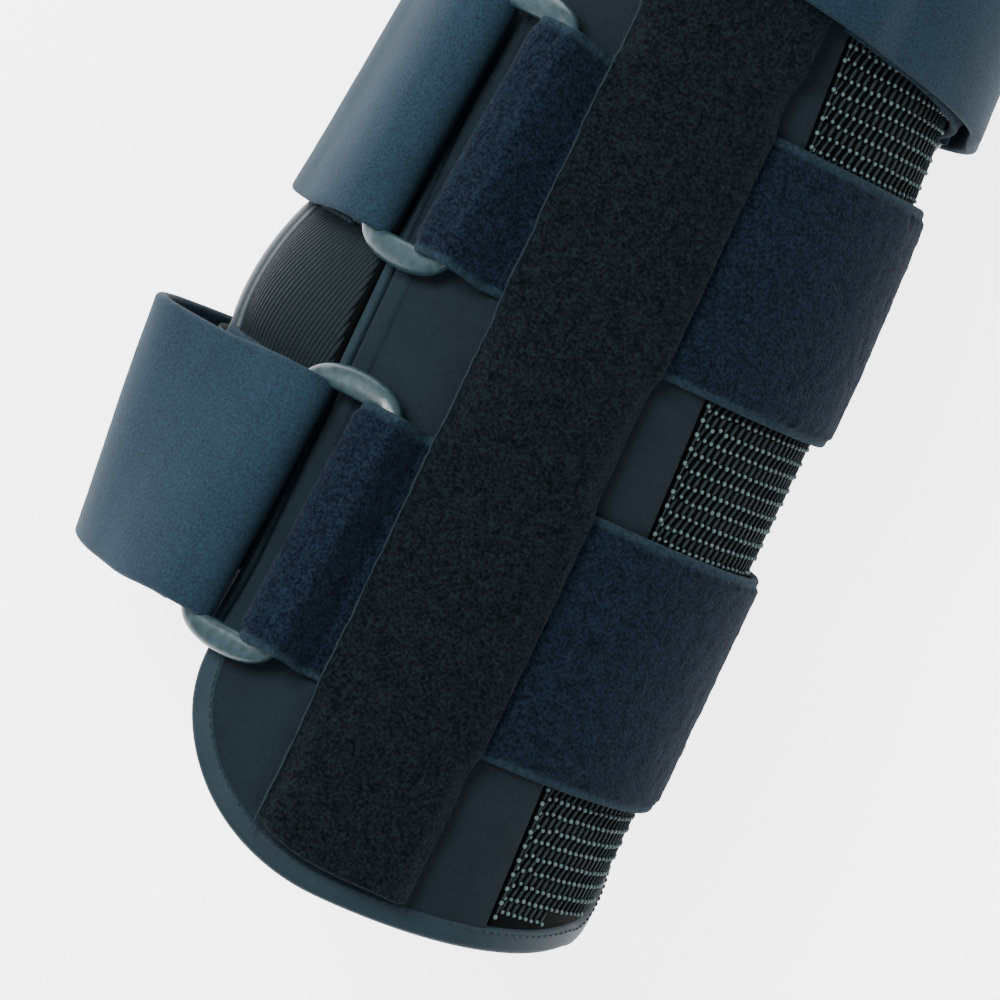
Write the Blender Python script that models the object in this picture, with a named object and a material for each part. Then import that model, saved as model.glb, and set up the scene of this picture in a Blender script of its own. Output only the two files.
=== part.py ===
"""Wrist splint: a bound fabric sleeve with a stay under a pile strip, closed by three straps
that pass through rings and fold back on themselves.

Metres. +Y runs along the forearm to the hand, +X across it, +Z up from the surface that the
splint lies on. The origin is halfway along it, on that surface. A place along the arm is
measured from the elbow end, and an angle is in degrees round the sleeve, from 0 at the top
towards +X.
"""

import math
from dataclasses import dataclass

import bmesh
import bpy
from mathutils import Matrix, Vector

# The arm-shaped hollow. It is wider on its left near the elbow, and flat underneath.
LENGTH = 0.236
HALF_HEIGHT = 0.037
HEIGHT_TAPER = 0.0435
FLAT_SHARE = 0.88
GIRTH = (
    # place along the arm, half width on the left, half width on the right
    (0.000, 0.0432, 0.0400),
    (0.046, 0.0402, 0.0393),
    (0.103, 0.0332, 0.0388),
    (0.165, 0.0290, 0.0350),
    (0.236, 0.0320, 0.0365),
)

# Thicknesses, and the gap between neighbouring pieces
GAP = 0.0003
SEAM = 0.0004
LINING = 0.0010
PANEL = 0.0020
STRAP = 0.0020
HOOK = 0.0007
STRIP = 0.0018

# Edges of the panels
LEFT_EDGE = 0.0273
THUMB_EDGE = 0.0210
EDGE_EASE = 0.050
CORNER = 0.027
BINDING = 0.0040
TAPE = 0.0014
SIDE_ANGLE = 100.0
PIPING_ANGLE = 261.5
PIPING_CLEAR = 1.8
PIPING = 0.0008
LOWER_END = PIPING_ANGLE - PIPING_CLEAR
MESH_ANGLE = 37.0
MESH_SLANT = 80.0
BUTT_ANGLE = 0.3
RIGHT_START = 0.005
RIGHT_ANGLE = 65.0
LOWER_START = 0.022
LOWER_ANGLE = 115.0
GUSSET_START = 0.036
HEM_START = 0.031
RISE_ANGLE = 222.0

# Thumb opening and the web beyond it
THUMB_HOLE = 0.038
WEB = 0.020
WEB_CLEAR = 1.0

# Pile strip and the stay below it
STRIP_WIDTH = 0.0254
STAY_WIDTH = 0.015
STAY_THICK = 0.0011
STAY_LENGTH = 0.200
STAY_INSET = 0.012

# Straps and their rings. The wrist strap runs on a slant and opens the other way.
STRAP_WIDTH = 0.0381
FOREARM_STRAPS = (0.0466, 0.1062)
TAB_SHOW = 0.00695
FOREARM_TIP = 242.0
WRIST_STRAP = 0.1529
WRIST_SLANT = -0.000090
WRIST_ROOT_CLEAR = 0.002
WRIST_RING = 122.0
WRIST_TIP = -20.0
WRIST_TAB_END = 208.0
RING_WINDOW = 0.0008
RING_BAR = 0.0030
RING_END = 0.0036
RING_THICK = 0.0024
RING_PITCH = 0.0145
ROOT_TUCK = 0.0035
FOLD_LEG = 0.0050
TAB_LEG = 0.0020
TOP_LEG = 0.0024
LEG_GAP = STRAP
HOOK_SHARES = (0.70, 0.80, 0.46)
HOOK_INSET = 0.001
OPENING_LIFT = 0.0008

# Layers, each measured out from the hollow
PANEL_IN = LINING + GAP
PANEL_OUT = PANEL_IN + PANEL
STRAP_IN = PANEL_OUT + GAP
STRAP_OUT = STRAP_IN + STRAP
STRIP_IN = STRAP_OUT + GAP
STRIP_OUT = STRIP_IN + STRIP
END_IN = STRAP_OUT + GAP + HOOK + GAP
FOLD_IN = RING_BAR / 2 + GAP
FOLD_OUT = FOLD_IN + STRAP
BAR_HEIGHT = PANEL_OUT + OPENING_LIFT + FOLD_OUT
SKIN_FLOOR = STRAP_OUT

GUSSET_END = LENGTH - BINDING - WEB - THUMB_HOLE
WEB_START = LENGTH - BINDING - WEB
WEB_ANGLE = PIPING_ANGLE - 360 + WEB_CLEAR
COLUMN_STEP = 8.0
SETTLE = 24.0
SETTLE_STEP = 4.0
STRIP_CLEAR = 5.0
ROW_STEP = 0.010

COLLECTION = bpy.data.collections.new("wrist_splint")


@dataclass
class Strap:
    """One strap. Its band runs with rising angle to its ring, and its free end folds back."""

    name: str
    y: float
    slant: float
    ring_angle: float
    root_angle: float
    tip_angle: float
    tab_angle: float


def clear_scene():
    for obj in list(bpy.data.objects):
        bpy.data.objects.remove(obj)
    bpy.context.scene.collection.children.link(COLLECTION)


def finish(name, colour, roughness, metallic):
    """A plain material of one colour, made once."""
    material = bpy.data.materials.get(name)
    if material:
        return material
    material = bpy.data.materials.new(name)
    material.use_nodes = True
    shader = material.node_tree.nodes["Principled BSDF"]
    shader.inputs["Base Color"].default_value = (*colour, 1)
    shader.inputs["Roughness"].default_value = roughness
    shader.inputs["Metallic"].default_value = metallic
    return material


PILE = (0.010, 0.020, 0.036)
SMOOTH_FABRIC = (0.040, 0.065, 0.095)
LAMINATE = (0.015, 0.024, 0.034)
BLACK = (0.008, 0.009, 0.012)
LINING_GREY = (0.060, 0.070, 0.080)
RING_GREY = (0.160, 0.220, 0.250)
ALUMINIUM = (0.620, 0.630, 0.640)


def smooth_step(low, high, value):
    share = min(1.0, max(0.0, (value - low) / (high - low)))
    return share * share * (3 - 2 * share)


def mix(start, end, share):
    return start + (end - start) * share


def half_width(y, side):
    """Half width of the hollow on its left (side 1) or right (side 2), on a smooth curve."""
    rows = GIRTH
    if y <= rows[0][0]:
        return rows[0][side]
    if y >= rows[-1][0]:
        return rows[-1][side]
    at = max(i for i in range(len(rows) - 1) if rows[i][0] <= y)
    before, start, end, after = (rows[max(0, min(len(rows) - 1, at + k))] for k in (-1, 0, 1, 2))
    run = end[0] - start[0]
    share = (y - start[0]) / run
    slope_in = (end[side] - before[side]) / (end[0] - before[0]) * run
    slope_out = (after[side] - start[side]) / (after[0] - start[0]) * run
    cube = share**3
    square = share**2
    return (
        (2 * cube - 3 * square + 1) * start[side]
        + (cube - 2 * square + share) * slope_in
        + (3 * square - 2 * cube) * end[side]
        + (cube - square) * slope_out
    )


def half_height(y):
    return HALF_HEIGHT - HEIGHT_TAPER * y


def surface(y, angle, offset):
    """The point at this place along the arm and angle round it, offset outwards."""
    turn = math.radians(angle)
    wide = half_width(y, 2 if math.sin(turn) > 0 else 1)
    tall = half_height(y)
    outward = Vector((math.sin(turn) / wide, math.cos(turn) / tall)).normalized()
    x = wide * math.sin(turn) + offset * outward.x
    z = SKIN_FLOOR + (FLAT_SHARE + math.cos(turn)) * tall + offset * outward.y
    return Vector((x, y - LENGTH / 2, max(z, SKIN_FLOOR - offset)))


def angle_at(y, x, offset):
    """The angle on the upper side at which the offset surface is x from the middle."""
    wide = half_width(y, 2 if x > 0 else 1) + offset
    return math.degrees(math.asin(max(-1.0, min(1.0, x / wide))))


def arc_degrees(y, angle, distance, offset):
    """How many degrees round the sleeve this distance is."""
    per_degree = (surface(y, angle + 0.5, offset) - surface(y, angle - 0.5, offset)).length
    return distance / per_degree


def left_edge(y):
    """Angle of the upper panel's left edge, which draws in beside the thumb."""
    distance = mix(LEFT_EDGE, THUMB_EDGE, smooth_step(GUSSET_END - EDGE_EASE, GUSSET_END, y))
    return angle_at(y, -distance, PANEL_OUT)


def mesh_edge(y):
    return MESH_ANGLE - MESH_SLANT * y


def bound_angle(y, clearance):
    """The left edge, moved in by the binding and this clearance."""
    edge = left_edge(y)
    return edge + arc_degrees(y, edge, BINDING + clearance, PANEL_OUT)


def right_outline(angle):
    """Where the sleeve starts along the arm, right of its middle and below."""
    right = RIGHT_START * (min(angle, RIGHT_ANGLE) / RIGHT_ANGLE) ** 2
    lower = (LOWER_START - RIGHT_START) * smooth_step(RIGHT_ANGLE, LOWER_ANGLE, angle)
    return right + lower + (HEM_START - LOWER_START) * smooth_step(RISE_ANGLE, LOWER_END, angle)


def new_object(name, mesh_build, material):
    data = bpy.data.meshes.new(name)
    bmesh.ops.recalc_face_normals(mesh_build, faces=mesh_build.faces)
    if mesh_build.calc_volume(signed=True) < 0:
        bmesh.ops.reverse_faces(mesh_build, faces=mesh_build.faces)
    mesh_build.to_mesh(data)
    mesh_build.free()
    data.shade_smooth()
    data.set_sharp_from_angle(angle=math.radians(35))
    data.materials.append(material)
    obj = bpy.data.objects.new(name, data)
    COLLECTION.objects.link(obj)
    return obj


def bent_sheet(name, material, columns, rows, closed=False):
    """A flat grid is thickened and bent: columns[i](v, w) places the point at v across the
    sheet (0 to 1) and w through it (0 to 1). A closed sheet's last column is its first."""
    count = len(columns)
    build = bmesh.new()
    bmesh.ops.create_grid(build, x_segments=count - 1, y_segments=rows, size=0.5)
    extruded = bmesh.ops.extrude_face_region(build, geom=build.faces[:])
    top = [item for item in extruded["geom"] if isinstance(item, bmesh.types.BMVert)]
    bmesh.ops.translate(build, verts=top, vec=(0, 0, 1))
    for vert in build.verts:
        column = round((vert.co.x + 0.5) * (count - 1))
        vert.co = columns[column](vert.co.y + 0.5, vert.co.z)
    if closed:
        bmesh.ops.remove_doubles(build, verts=build.verts, dist=1e-6)
        inner = [face for face in build.faces if all(len(e.link_faces) > 2 for e in face.edges)]
        bmesh.ops.delete(build, geom=inner, context="FACES_ONLY")
    return new_object(name, build, material)


def steps(start, end, step):
    count = max(1, math.ceil(abs(end - start) / step))
    return [mix(start, end, i / count) for i in range(count + 1)]


def stations(start, end):
    """Angles from start to end, through the shared stations, so that layers bend alike."""
    low, high = min(start, end), max(start, end)
    first = math.ceil((low + COLUMN_STEP / 4) / COLUMN_STEP)
    last = math.floor((high - COLUMN_STEP / 4) / COLUMN_STEP)
    between = [k * COLUMN_STEP for k in range(first, last + 1)]
    found = [low, *between, high]
    return found if start < end else found[::-1]


def patch(name, material, left, right, start, end, inner, outer, crowd=1.0):
    """A panel. left and right give angles at a place along the arm, and start and end give
    places along the arm at a share of the way across. crowd above 1 bunches the left columns."""
    count = max(1, math.ceil(abs(right(LENGTH / 2) - left(LENGTH / 2)) / COLUMN_STEP))
    rows = max(1, math.ceil((end(0.5) - start(0.5)) / ROW_STEP))

    def column(share):
        def place(v, w):
            y = mix(start(share), end(share), v)
            return surface(y, mix(left(y), right(y), share), mix(inner, outer, w))

        return place

    shares = [(i / count) ** crowd for i in range(count + 1)]
    return bent_sheet(name, material, [column(share) for share in shares], rows)


def upper_start(share):
    """Where the upper panel starts: a quarter ellipse on the left, then the right outline."""
    left = bound_angle(0, SEAM)
    right = mesh_edge(0) - BUTT_ANGLE
    angle = mix(left, right, share)
    inset = BINDING + SEAM
    if angle >= 0:
        return right_outline(angle) + inset
    return CORNER - (CORNER - inset) * math.sqrt(max(0.0, 1 - (angle / left) ** 2))


def upper_panel(name, material, inner, outer):
    return patch(
        name,
        material,
        lambda y: bound_angle(y, SEAM),
        lambda y: mesh_edge(y) - BUTT_ANGLE,
        upper_start,
        lambda share: LENGTH - BINDING - SEAM,
        inner,
        outer,
        crowd=1.6,
    )


def side_panel():
    def start(share):
        return right_outline(mix(mesh_edge(0), SIDE_ANGLE, share)) + BINDING + SEAM

    return patch(
        "side_mesh_panel",
        finish("open_mesh", BLACK, 0.8, 0),
        lambda y: mesh_edge(y) + BUTT_ANGLE,
        lambda y: SIDE_ANGLE - BUTT_ANGLE,
        start,
        lambda share: LENGTH - BINDING - SEAM,
        PANEL_IN,
        PANEL_OUT,
    )


def lower_panel(name, material, inner, outer):
    def column(angle):
        start = right_outline(angle) + BINDING + SEAM

        def place(v, w):
            y = mix(start, LENGTH - BINDING - SEAM, v)
            return surface(y, angle, mix(inner, outer, w))

        return place

    columns = [column(angle) for angle in stations(SIDE_ANGLE + BUTT_ANGLE, LOWER_END)]
    return bent_sheet(name, material, columns, math.ceil(LENGTH / ROW_STEP))


def gusset():
    def right(y):
        edge = left_edge(y)
        return edge - arc_degrees(y, edge, TAPE + 2 * SEAM, PANEL_OUT)

    return patch(
        "elastic_gusset",
        finish("ribbed_elastic", BLACK, 0.85, 0),
        lambda y: PIPING_ANGLE - 360 + PIPING_CLEAR,
        right,
        lambda share: GUSSET_START,
        lambda share: GUSSET_END - SEAM,
        PANEL_IN,
        PANEL_OUT,
    )


def gusset_tape():
    def left(y):
        edge = left_edge(y)
        return edge - arc_degrees(y, edge, TAPE + SEAM, PANEL_OUT)

    def right(y):
        edge = left_edge(y)
        return edge - arc_degrees(y, edge, SEAM, PANEL_OUT)

    return patch(
        "gusset_seam_tape",
        finish("seam_tape", SMOOTH_FABRIC, 0.7, 0),
        left,
        right,
        lambda share: GUSSET_START,
        lambda share: GUSSET_END - SEAM,
        PANEL_IN,
        PANEL_OUT,
    )


def left_binding():
    return patch(
        "left_edge_binding",
        finish("binding_tape", LAMINATE, 0.75, 0),
        left_edge,
        lambda y: bound_angle(y, 0),
        lambda share: CORNER + SEAM,
        lambda share: GUSSET_END - SEAM,
        LINING / 2,
        PANEL_OUT,
    )


def thumb_web():
    return patch(
        "thumb_web",
        finish("web_laminate", LAMINATE, 0.75, 0),
        lambda y: WEB_ANGLE,
        lambda y: bound_angle(y, 0),
        lambda share: WEB_START + SEAM,
        lambda share: LENGTH - BINDING - SEAM,
        PANEL_IN,
        PANEL_OUT,
    )


def thumb_binding():
    """A tape round the rim of the thumb opening, a rounded rectangle on the sleeve."""
    middle_y = (GUSSET_END + WEB_START) / 2
    right = bound_angle(middle_y, 0)
    middle = (WEB_ANGLE + right) / 2
    reach = (right - WEB_ANGLE) / 2
    half = THUMB_HOLE / 2
    roundness = 2 / 5

    def column(turn):
        cosine = math.copysign(abs(math.cos(turn)) ** roundness, math.cos(turn))
        sine = math.copysign(abs(math.sin(turn)) ** roundness, math.sin(turn))

        def place(v, w):
            inset = mix(BINDING, 0.0, v)
            y = middle_y + (half - inset) * sine
            inset_angle = arc_degrees(middle_y, middle, inset, PANEL_OUT)
            angle = middle + (reach - inset_angle) * cosine
            return surface(y, angle, mix(LINING / 2, PANEL_OUT, w))

        return place

    count = 32
    turns = [2 * math.pi * (i % count + 0.5) / count for i in range(count + 1)]
    columns = [column(turn) for turn in turns]
    tape = finish("thumb_binding_tape", LAMINATE, 0.75, 0)
    return bent_sheet("thumb_hole_binding", tape, columns, 1, closed=True)


def edge_column(outer_place, inner_place):
    def place(v, w):
        y = mix(outer_place[1], inner_place[1], v)
        angle = mix(outer_place[0], inner_place[0], v)
        return surface(y, angle, mix(LINING / 2, PANEL_OUT, w))

    return place


def corner_columns():
    """The round left corner, from the left edge down to the middle of the near end."""
    columns = []
    for turn in steps(90, 0, 10):
        sine = math.sin(math.radians(turn))
        cosine = math.cos(math.radians(turn))
        outer_y = CORNER * (1 - cosine)
        inner_y = CORNER - (CORNER - BINDING) * cosine
        outer_angle = left_edge(outer_y) * sine
        inner_angle = bound_angle(inner_y, 0) * sine
        columns.append(edge_column((outer_angle, outer_y), (inner_angle, inner_y)))
    return columns


def near_binding_upper():
    columns = corner_columns()
    for angle in steps(0, SIDE_ANGLE - BUTT_ANGLE, COLUMN_STEP)[1:]:
        edge = right_outline(angle)
        columns.append(edge_column((angle, edge), (angle, edge + BINDING)))
    tape = finish("near_binding_tape", LAMINATE, 0.75, 0)
    return bent_sheet("elbow_end_binding_upper", tape, columns, 1)


def end_binding(name, start, end, far):
    columns = []
    for angle in stations(start, end):
        edge = LENGTH - BINDING if far else right_outline(angle)
        columns.append(edge_column((angle, edge), (angle, edge + BINDING)))
    return bent_sheet(name, finish(name + "_tape", LAMINATE, 0.75, 0), columns, 1)


def piping():
    """A cord sewn into the seam between the gusset and the lower panel."""
    path = bpy.data.curves.new("gusset_piping", "CURVE")
    path.dimensions = "3D"
    path.bevel_depth = PIPING
    path.bevel_resolution = 2
    path.use_fill_caps = True
    places = steps(GUSSET_START, GUSSET_END - SEAM, ROW_STEP)
    spline = path.splines.new("POLY")
    spline.points.add(len(places) - 1)
    for point, y in zip(spline.points, places):
        point.co = (*surface(y, PIPING_ANGLE, PANEL_OUT - PIPING), 1)
    path.materials.append(finish("piping_cord", BLACK, 0.6, 0))
    COLLECTION.objects.link(bpy.data.objects.new("gusset_piping", path))


def pile_strip():
    half = STRIP_WIDTH / 2
    return patch(
        "pile_strip",
        finish("strip_pile", PILE, 1.0, 0),
        lambda y: angle_at(y, -half, STRIP_IN),
        lambda y: angle_at(y, half, STRIP_IN),
        lambda share: BINDING + SEAM,
        lambda share: LENGTH - BINDING - SEAM,
        STRIP_IN,
        STRIP_OUT,
    )


def stay():
    """A straight flat bar with round ends, lying along the top of the upper panel."""
    outline = bpy.data.curves.new("stay", "CURVE")
    outline.dimensions = "2D"
    outline.fill_mode = "BOTH"
    outline.extrude = STAY_THICK / 2
    radius = STAY_WIDTH / 2
    points = []
    for end, first in ((1, 0), (-1, 180)):
        for turn in steps(first, first + 180, 22.5):
            across = radius * math.cos(math.radians(turn))
            along = end * (STAY_LENGTH / 2 - radius) + radius * math.sin(math.radians(turn))
            points.append((across, along))
    spline = outline.splines.new("POLY")
    spline.points.add(len(points) - 1)
    for point, (x, y) in zip(spline.points, points):
        point.co = (x, y, 0, 1)
    spline.use_cyclic_u = True
    outline.materials.append(finish("stay_aluminium", ALUMINIUM, 0.35, 1))
    obj = bpy.data.objects.new("stay", outline)
    near = surface(STAY_INSET, 0, STRAP_IN + STAY_THICK / 2)
    far = surface(STAY_INSET + STAY_LENGTH, 0, STRAP_IN + STAY_THICK / 2)
    obj.location = (near + far) / 2
    obj.rotation_euler.x = math.atan2(far.z - near.z, far.y - near.y)
    COLLECTION.objects.link(obj)


class RingFrame:
    """Where a strap's ring sits: its middle, the direction from its tab bar to its strap bar,
    the direction along its bars to the hand, and the direction out of the sleeve."""

    def __init__(self, strap):
        angle = strap.ring_angle
        low = surface(strap.y - strap.slant, angle - 1, BAR_HEIGHT)
        high = surface(strap.y + strap.slant, angle + 1, BAR_HEIGHT)
        elbow = surface(strap.y - STRAP_WIDTH / 2, angle, BAR_HEIGHT)
        hand = surface(strap.y + STRAP_WIDTH / 2, angle, BAR_HEIGHT)
        self.across = (low - high).normalized()
        along = hand - elbow
        self.along = (along - along.dot(self.across) * self.across).normalized()
        self.out = self.across.cross(self.along).normalized()
        if self.out.dot(hand - surface(strap.y, angle, 0)) < 0:
            self.out.negate()
        per_degree = (high - low).length / 2
        self.half_turn = RING_PITCH / 2 / per_degree
        bars = [
            surface(strap.y + side * self.half_turn * strap.slant, angle + side * self.half_turn, 0)
            for side in (-1, 1)
        ]
        skin = (bars[0] + bars[1]) / 2
        self.middle = skin + self.out * BAR_HEIGHT
        self.strap_bar = self.middle + self.across * RING_PITCH / 2
        self.tab_bar = self.middle - self.across * RING_PITCH / 2
        self.strap_angle = angle - self.half_turn
        self.tab_angle = angle + self.half_turn

    def matrix(self, origin):
        turn = Matrix((self.across, self.along, self.out)).transposed()
        return Matrix.Translation(origin) @ turn.to_4x4()


def strap_middle(strap, angle):
    return strap.y + strap.slant * (angle - strap.ring_angle)


def wrap_column(strap, angle, inner, thickness):
    def place(v, w):
        y = strap_middle(strap, angle) + (v - 0.5) * STRAP_WIDTH
        return surface(y, angle, inner + w * thickness)

    return place


def fold_column(frame, bar, towards, turn, leg=0.0):
    """A column of the fold round a bar. towards is the unlooped side, and turn runs from -90
    under the bar to 90 over it."""
    direction = (
        -towards * math.cos(math.radians(turn)) + frame.out * math.sin(math.radians(turn))
    )

    def place(v, w):
        reach = direction * (FOLD_IN + w * STRAP)
        return bar + towards * leg + reach + frame.along * (v - 0.5) * STRAP_WIDTH

    return place


def band(strap):
    """The stretch of strap from its sewn root round the sleeve to its ring."""
    frame = RingFrame(strap)
    end = frame.strap_angle - frame.half_turn * 2 * (FOLD_LEG + LEG_GAP) / RING_PITCH
    columns = [
        wrap_column(strap, angle, STRAP_IN, STRAP)
        for angle in stations(strap.root_angle, end)
    ]
    return bent_sheet(strap.name + "_band", finish("band_pile", PILE, 1.0, 0), columns, 3)


def tab(strap):
    """A short strap that holds the ring: it loops round the ring's bar and is sewn down."""
    frame = RingFrame(strap)
    columns = [fold_column(frame, frame.tab_bar, -frame.across, -90, TAB_LEG)]
    for turn in steps(-90, 90, 30):
        columns.append(fold_column(frame, frame.tab_bar, -frame.across, turn))
    columns.append(fold_column(frame, frame.tab_bar, -frame.across, 90, TOP_LEG))
    top = BAR_HEIGHT + FOLD_IN
    clear = frame.tab_angle + frame.half_turn * 2 * TOP_LEG / RING_PITCH
    sewn = max(clear + 4.0, min(clear + 10.0, strap.tab_angle - 6.0))
    for angle in steps(clear, sewn, 2.0)[1:] + stations(sewn, strap.tab_angle)[1:]:
        inner = mix(top, STRAP_IN, smooth_step(clear, sewn, angle))
        columns.append(wrap_column(strap, angle, inner, STRAP))
    return bent_sheet(strap.name + "_tab", finish("tab_pile", PILE, 1.0, 0), columns, 2)


def leaving_angle(frame):
    """Where the free end leaves its fold."""
    return frame.strap_angle - frame.half_turn * 2 * TOP_LEG / RING_PITCH


def hook_ends(strap):
    """The angles between which the hook tape lies, from the one near the tip. It covers a
    share of its free end, whose rest stays bare beside the fold."""
    share = HOOK_SHARES[int(strap.name[-1]) - 1]
    tip = strap.tip_angle + arc_degrees(strap.y, strap.tip_angle, HOOK_INSET, END_IN)
    return [tip, mix(strap.tip_angle, leaving_angle(RingFrame(strap)), share)]


def end_angles(strap, frame):
    """The stations of the free end, from just past its fold to its tip. The hook tape's ends
    are among them, so that both bend alike."""
    leaves = leaving_angle(frame)
    found = steps(leaves, leaves - SETTLE, SETTLE_STEP)[1:]
    found += stations(leaves - SETTLE, strap.tip_angle)[1:]
    apart = SETTLE_STEP / 4
    ends = hook_ends(strap)
    kept = [a for a in found[:-1] if all(abs(a - end) > apart for end in ends)]
    return sorted({*kept, *ends, found[-1]}, reverse=True)


def end_inner(strap, angle):
    """How far out the free end's inner face lies. It climbs over the pile strip."""
    top = BAR_HEIGHT + FOLD_IN
    leaves = leaving_angle(RingFrame(strap))
    down = smooth_step(leaves - SETTLE, leaves, angle)
    edge = angle_at(strap.y, STRIP_WIDTH / 2, STRIP_OUT)
    over_strip = 1 - smooth_step(edge + STRIP_CLEAR, edge + 2 * COLUMN_STEP, angle)
    rested = mix(END_IN, STRIP_OUT + GAP + HOOK + GAP, over_strip)
    if strap.tip_angle > edge:
        rested = END_IN
    return mix(rested, top, down)


def free_end(strap):
    """The strap's end, looped round the ring's other bar and laid back over the band."""
    frame = RingFrame(strap)
    leg = fold_column(frame, frame.strap_bar, frame.across, -90, FOLD_LEG)
    columns = [leg]
    for turn in steps(-90, 90, 30):
        columns.append(fold_column(frame, frame.strap_bar, frame.across, turn))
    columns.append(fold_column(frame, frame.strap_bar, frame.across, 90, TOP_LEG))
    for angle in end_angles(strap, frame):
        columns.append(wrap_column(strap, angle, end_inner(strap, angle), STRAP))
    smooth = finish("end_fabric", SMOOTH_FABRIC, 0.8, 0)
    return bent_sheet(strap.name + "_free_end", smooth, columns, 3)


def hook_patch(strap):
    """The hook tape sewn inside the tip of the free end."""
    tip, root = hook_ends(strap)
    columns = []
    for angle in end_angles(strap, RingFrame(strap))[::-1]:
        if not tip <= angle <= root:
            continue
        inner = end_inner(strap, angle) - GAP - HOOK
        columns.append(wrap_column(strap, angle, inner, HOOK))
    return bent_sheet(strap.name + "_hook_patch", finish("hook_tape", BLACK, 0.7, 0), columns, 2)


def ring(strap):
    """A moulded rectangular loop, wider across its two ends than along its bars."""
    frame = RingFrame(strap)
    half_long = STRAP_WIDTH / 2 + RING_WINDOW + RING_END / 2
    half_short = RING_PITCH / 2
    corner = RING_END / 2 + RING_WINDOW
    around, section = 40, 8
    build = bmesh.new()
    bmesh.ops.create_grid(build, x_segments=around, y_segments=section, size=0.5)
    for vert in build.verts:
        turn = 2 * math.pi * (vert.co.x + 0.5)
        beta = 2 * math.pi * (vert.co.y + 0.5)
        centre, outward = ring_line(turn, half_short, half_long, corner)
        breadth = mix(RING_BAR, RING_END, smooth_step(0.55, 0.95, abs(outward.y))) / 2
        side = centre + outward * breadth * math.cos(beta)
        vert.co = (side.x, side.y, RING_THICK / 2 * math.sin(beta))
    bmesh.ops.remove_doubles(build, verts=build.verts, dist=1e-6)
    colour = finish("ring_moulding", RING_GREY, 0.35, 0.1)
    obj = new_object(strap.name + "_ring", build, colour)
    to_pivot = frame.matrix(frame.tab_bar).inverted() @ frame.matrix(frame.middle)
    obj.data.transform(to_pivot)
    obj.matrix_world = frame.matrix(frame.tab_bar)
    return obj


def ring_line(turn, half_short, half_long, corner):
    """Point and outward direction on a rectangle with round corners, by turn from +X."""
    core = Vector((half_short - corner, half_long - corner))
    quarter = int(turn / (math.pi / 2) + 1e-9) % 4
    part = turn / (math.pi / 2) % 1.0
    signs = ((1, 1), (-1, 1), (-1, -1), (1, -1))[quarter]
    if part < 1e-9:
        side = (Vector((1, 0)), Vector((0, 1)), Vector((-1, 0)), Vector((0, -1)))[quarter]
        return Vector((side.x * half_short, side.y * half_long)), side
    bend = smooth_step(0.0, 1.0, part) * math.pi / 2 + quarter * math.pi / 2
    outward = Vector((math.cos(bend), math.sin(bend)))
    return Vector((signs[0] * core.x, signs[1] * core.y)) + outward * corner, outward


def move_origin(obj, strap):
    """Sets the object's origin on its joint axis, with the mesh left where it is."""
    frame = RingFrame(strap)
    obj.data.transform(Matrix.Translation(-frame.strap_bar))
    obj.location = frame.strap_bar


def straps():
    """The two forearm straps, and the wrist strap, whose ring is on the other side."""
    sewn_x = STRIP_WIDTH / 2 - ROOT_TUCK
    ring_x = STRIP_WIDTH / 2 + TAB_SHOW + RING_PITCH / 2
    found = []
    for number, y in enumerate(FOREARM_STRAPS, 1):
        ring_at = angle_at(y, -ring_x, BAR_HEIGHT) + 360
        root = angle_at(y, sewn_x, STRAP_IN)
        tab_end = angle_at(y, -sewn_x, STRAP_IN) + 360
        found.append(Strap(f"strap_{number}", y, 0.0, ring_at, root, FOREARM_TIP, tab_end))
    root = angle_at(WRIST_STRAP, STRIP_WIDTH / 2 + WRIST_ROOT_CLEAR, STRAP_IN)
    wrist = ("strap_3", WRIST_STRAP, WRIST_SLANT, WRIST_RING, root, WRIST_TIP, WRIST_TAB_END)
    return [*found, Strap(*wrist)]


def centre_sideways():
    """Moves the whole splint sideways, so that the origin is below the middle of its box."""
    bpy.context.view_layer.update()
    pieces = [obj for obj in COLLECTION.objects if obj.type == "MESH"]
    sides = [(obj.matrix_world @ vert.co).x for obj in pieces for vert in obj.data.vertices]
    for obj in COLLECTION.objects:
        obj.location.x -= (min(sides) + max(sides)) / 2


def build_splint():
    clear_scene()
    laminate = finish("panel_laminate", LAMINATE, 0.75, 0)
    lining = finish("lining_cloth", LINING_GREY, 0.9, 0)
    upper_panel("upper_panel", laminate, PANEL_IN, PANEL_OUT)
    upper_panel("upper_lining", lining, 0.0, LINING)
    lower_panel("lower_panel", laminate, PANEL_IN, PANEL_OUT)
    lower_panel("lower_lining", lining, 0.0, LINING)
    side_panel()
    gusset()
    gusset_tape()
    left_binding()
    piping()
    thumb_web()
    thumb_binding()
    near_binding_upper()
    end_binding("elbow_end_binding_lower", SIDE_ANGLE + BUTT_ANGLE, LOWER_END, far=False)
    end_binding("hand_end_binding_upper", WEB_ANGLE, SIDE_ANGLE - BUTT_ANGLE, far=True)
    end_binding("hand_end_binding_lower", SIDE_ANGLE + BUTT_ANGLE, LOWER_END, far=True)
    pile_strip()
    stay()
    for strap in straps():
        band(strap)
        tab(strap)
        ring(strap)
        move_origin(free_end(strap), strap)
        move_origin(hook_patch(strap), strap)
    centre_sideways()


build_splint()
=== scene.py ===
"""The wrist splint as it looks: knitted pile straps, a laminate sleeve, an open mesh side, a
ribbed elastic gusset and moulded rings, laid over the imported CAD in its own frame.

Metres. A place along the arm is measured from the elbow end, and an angle is in degrees round
the sleeve, from 0 at the top towards +X.
"""

import math

import bpy
import numpy as np
from bpy.props import FloatProperty, FloatVectorProperty, PointerProperty
from mathutils import Matrix, Vector


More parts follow.
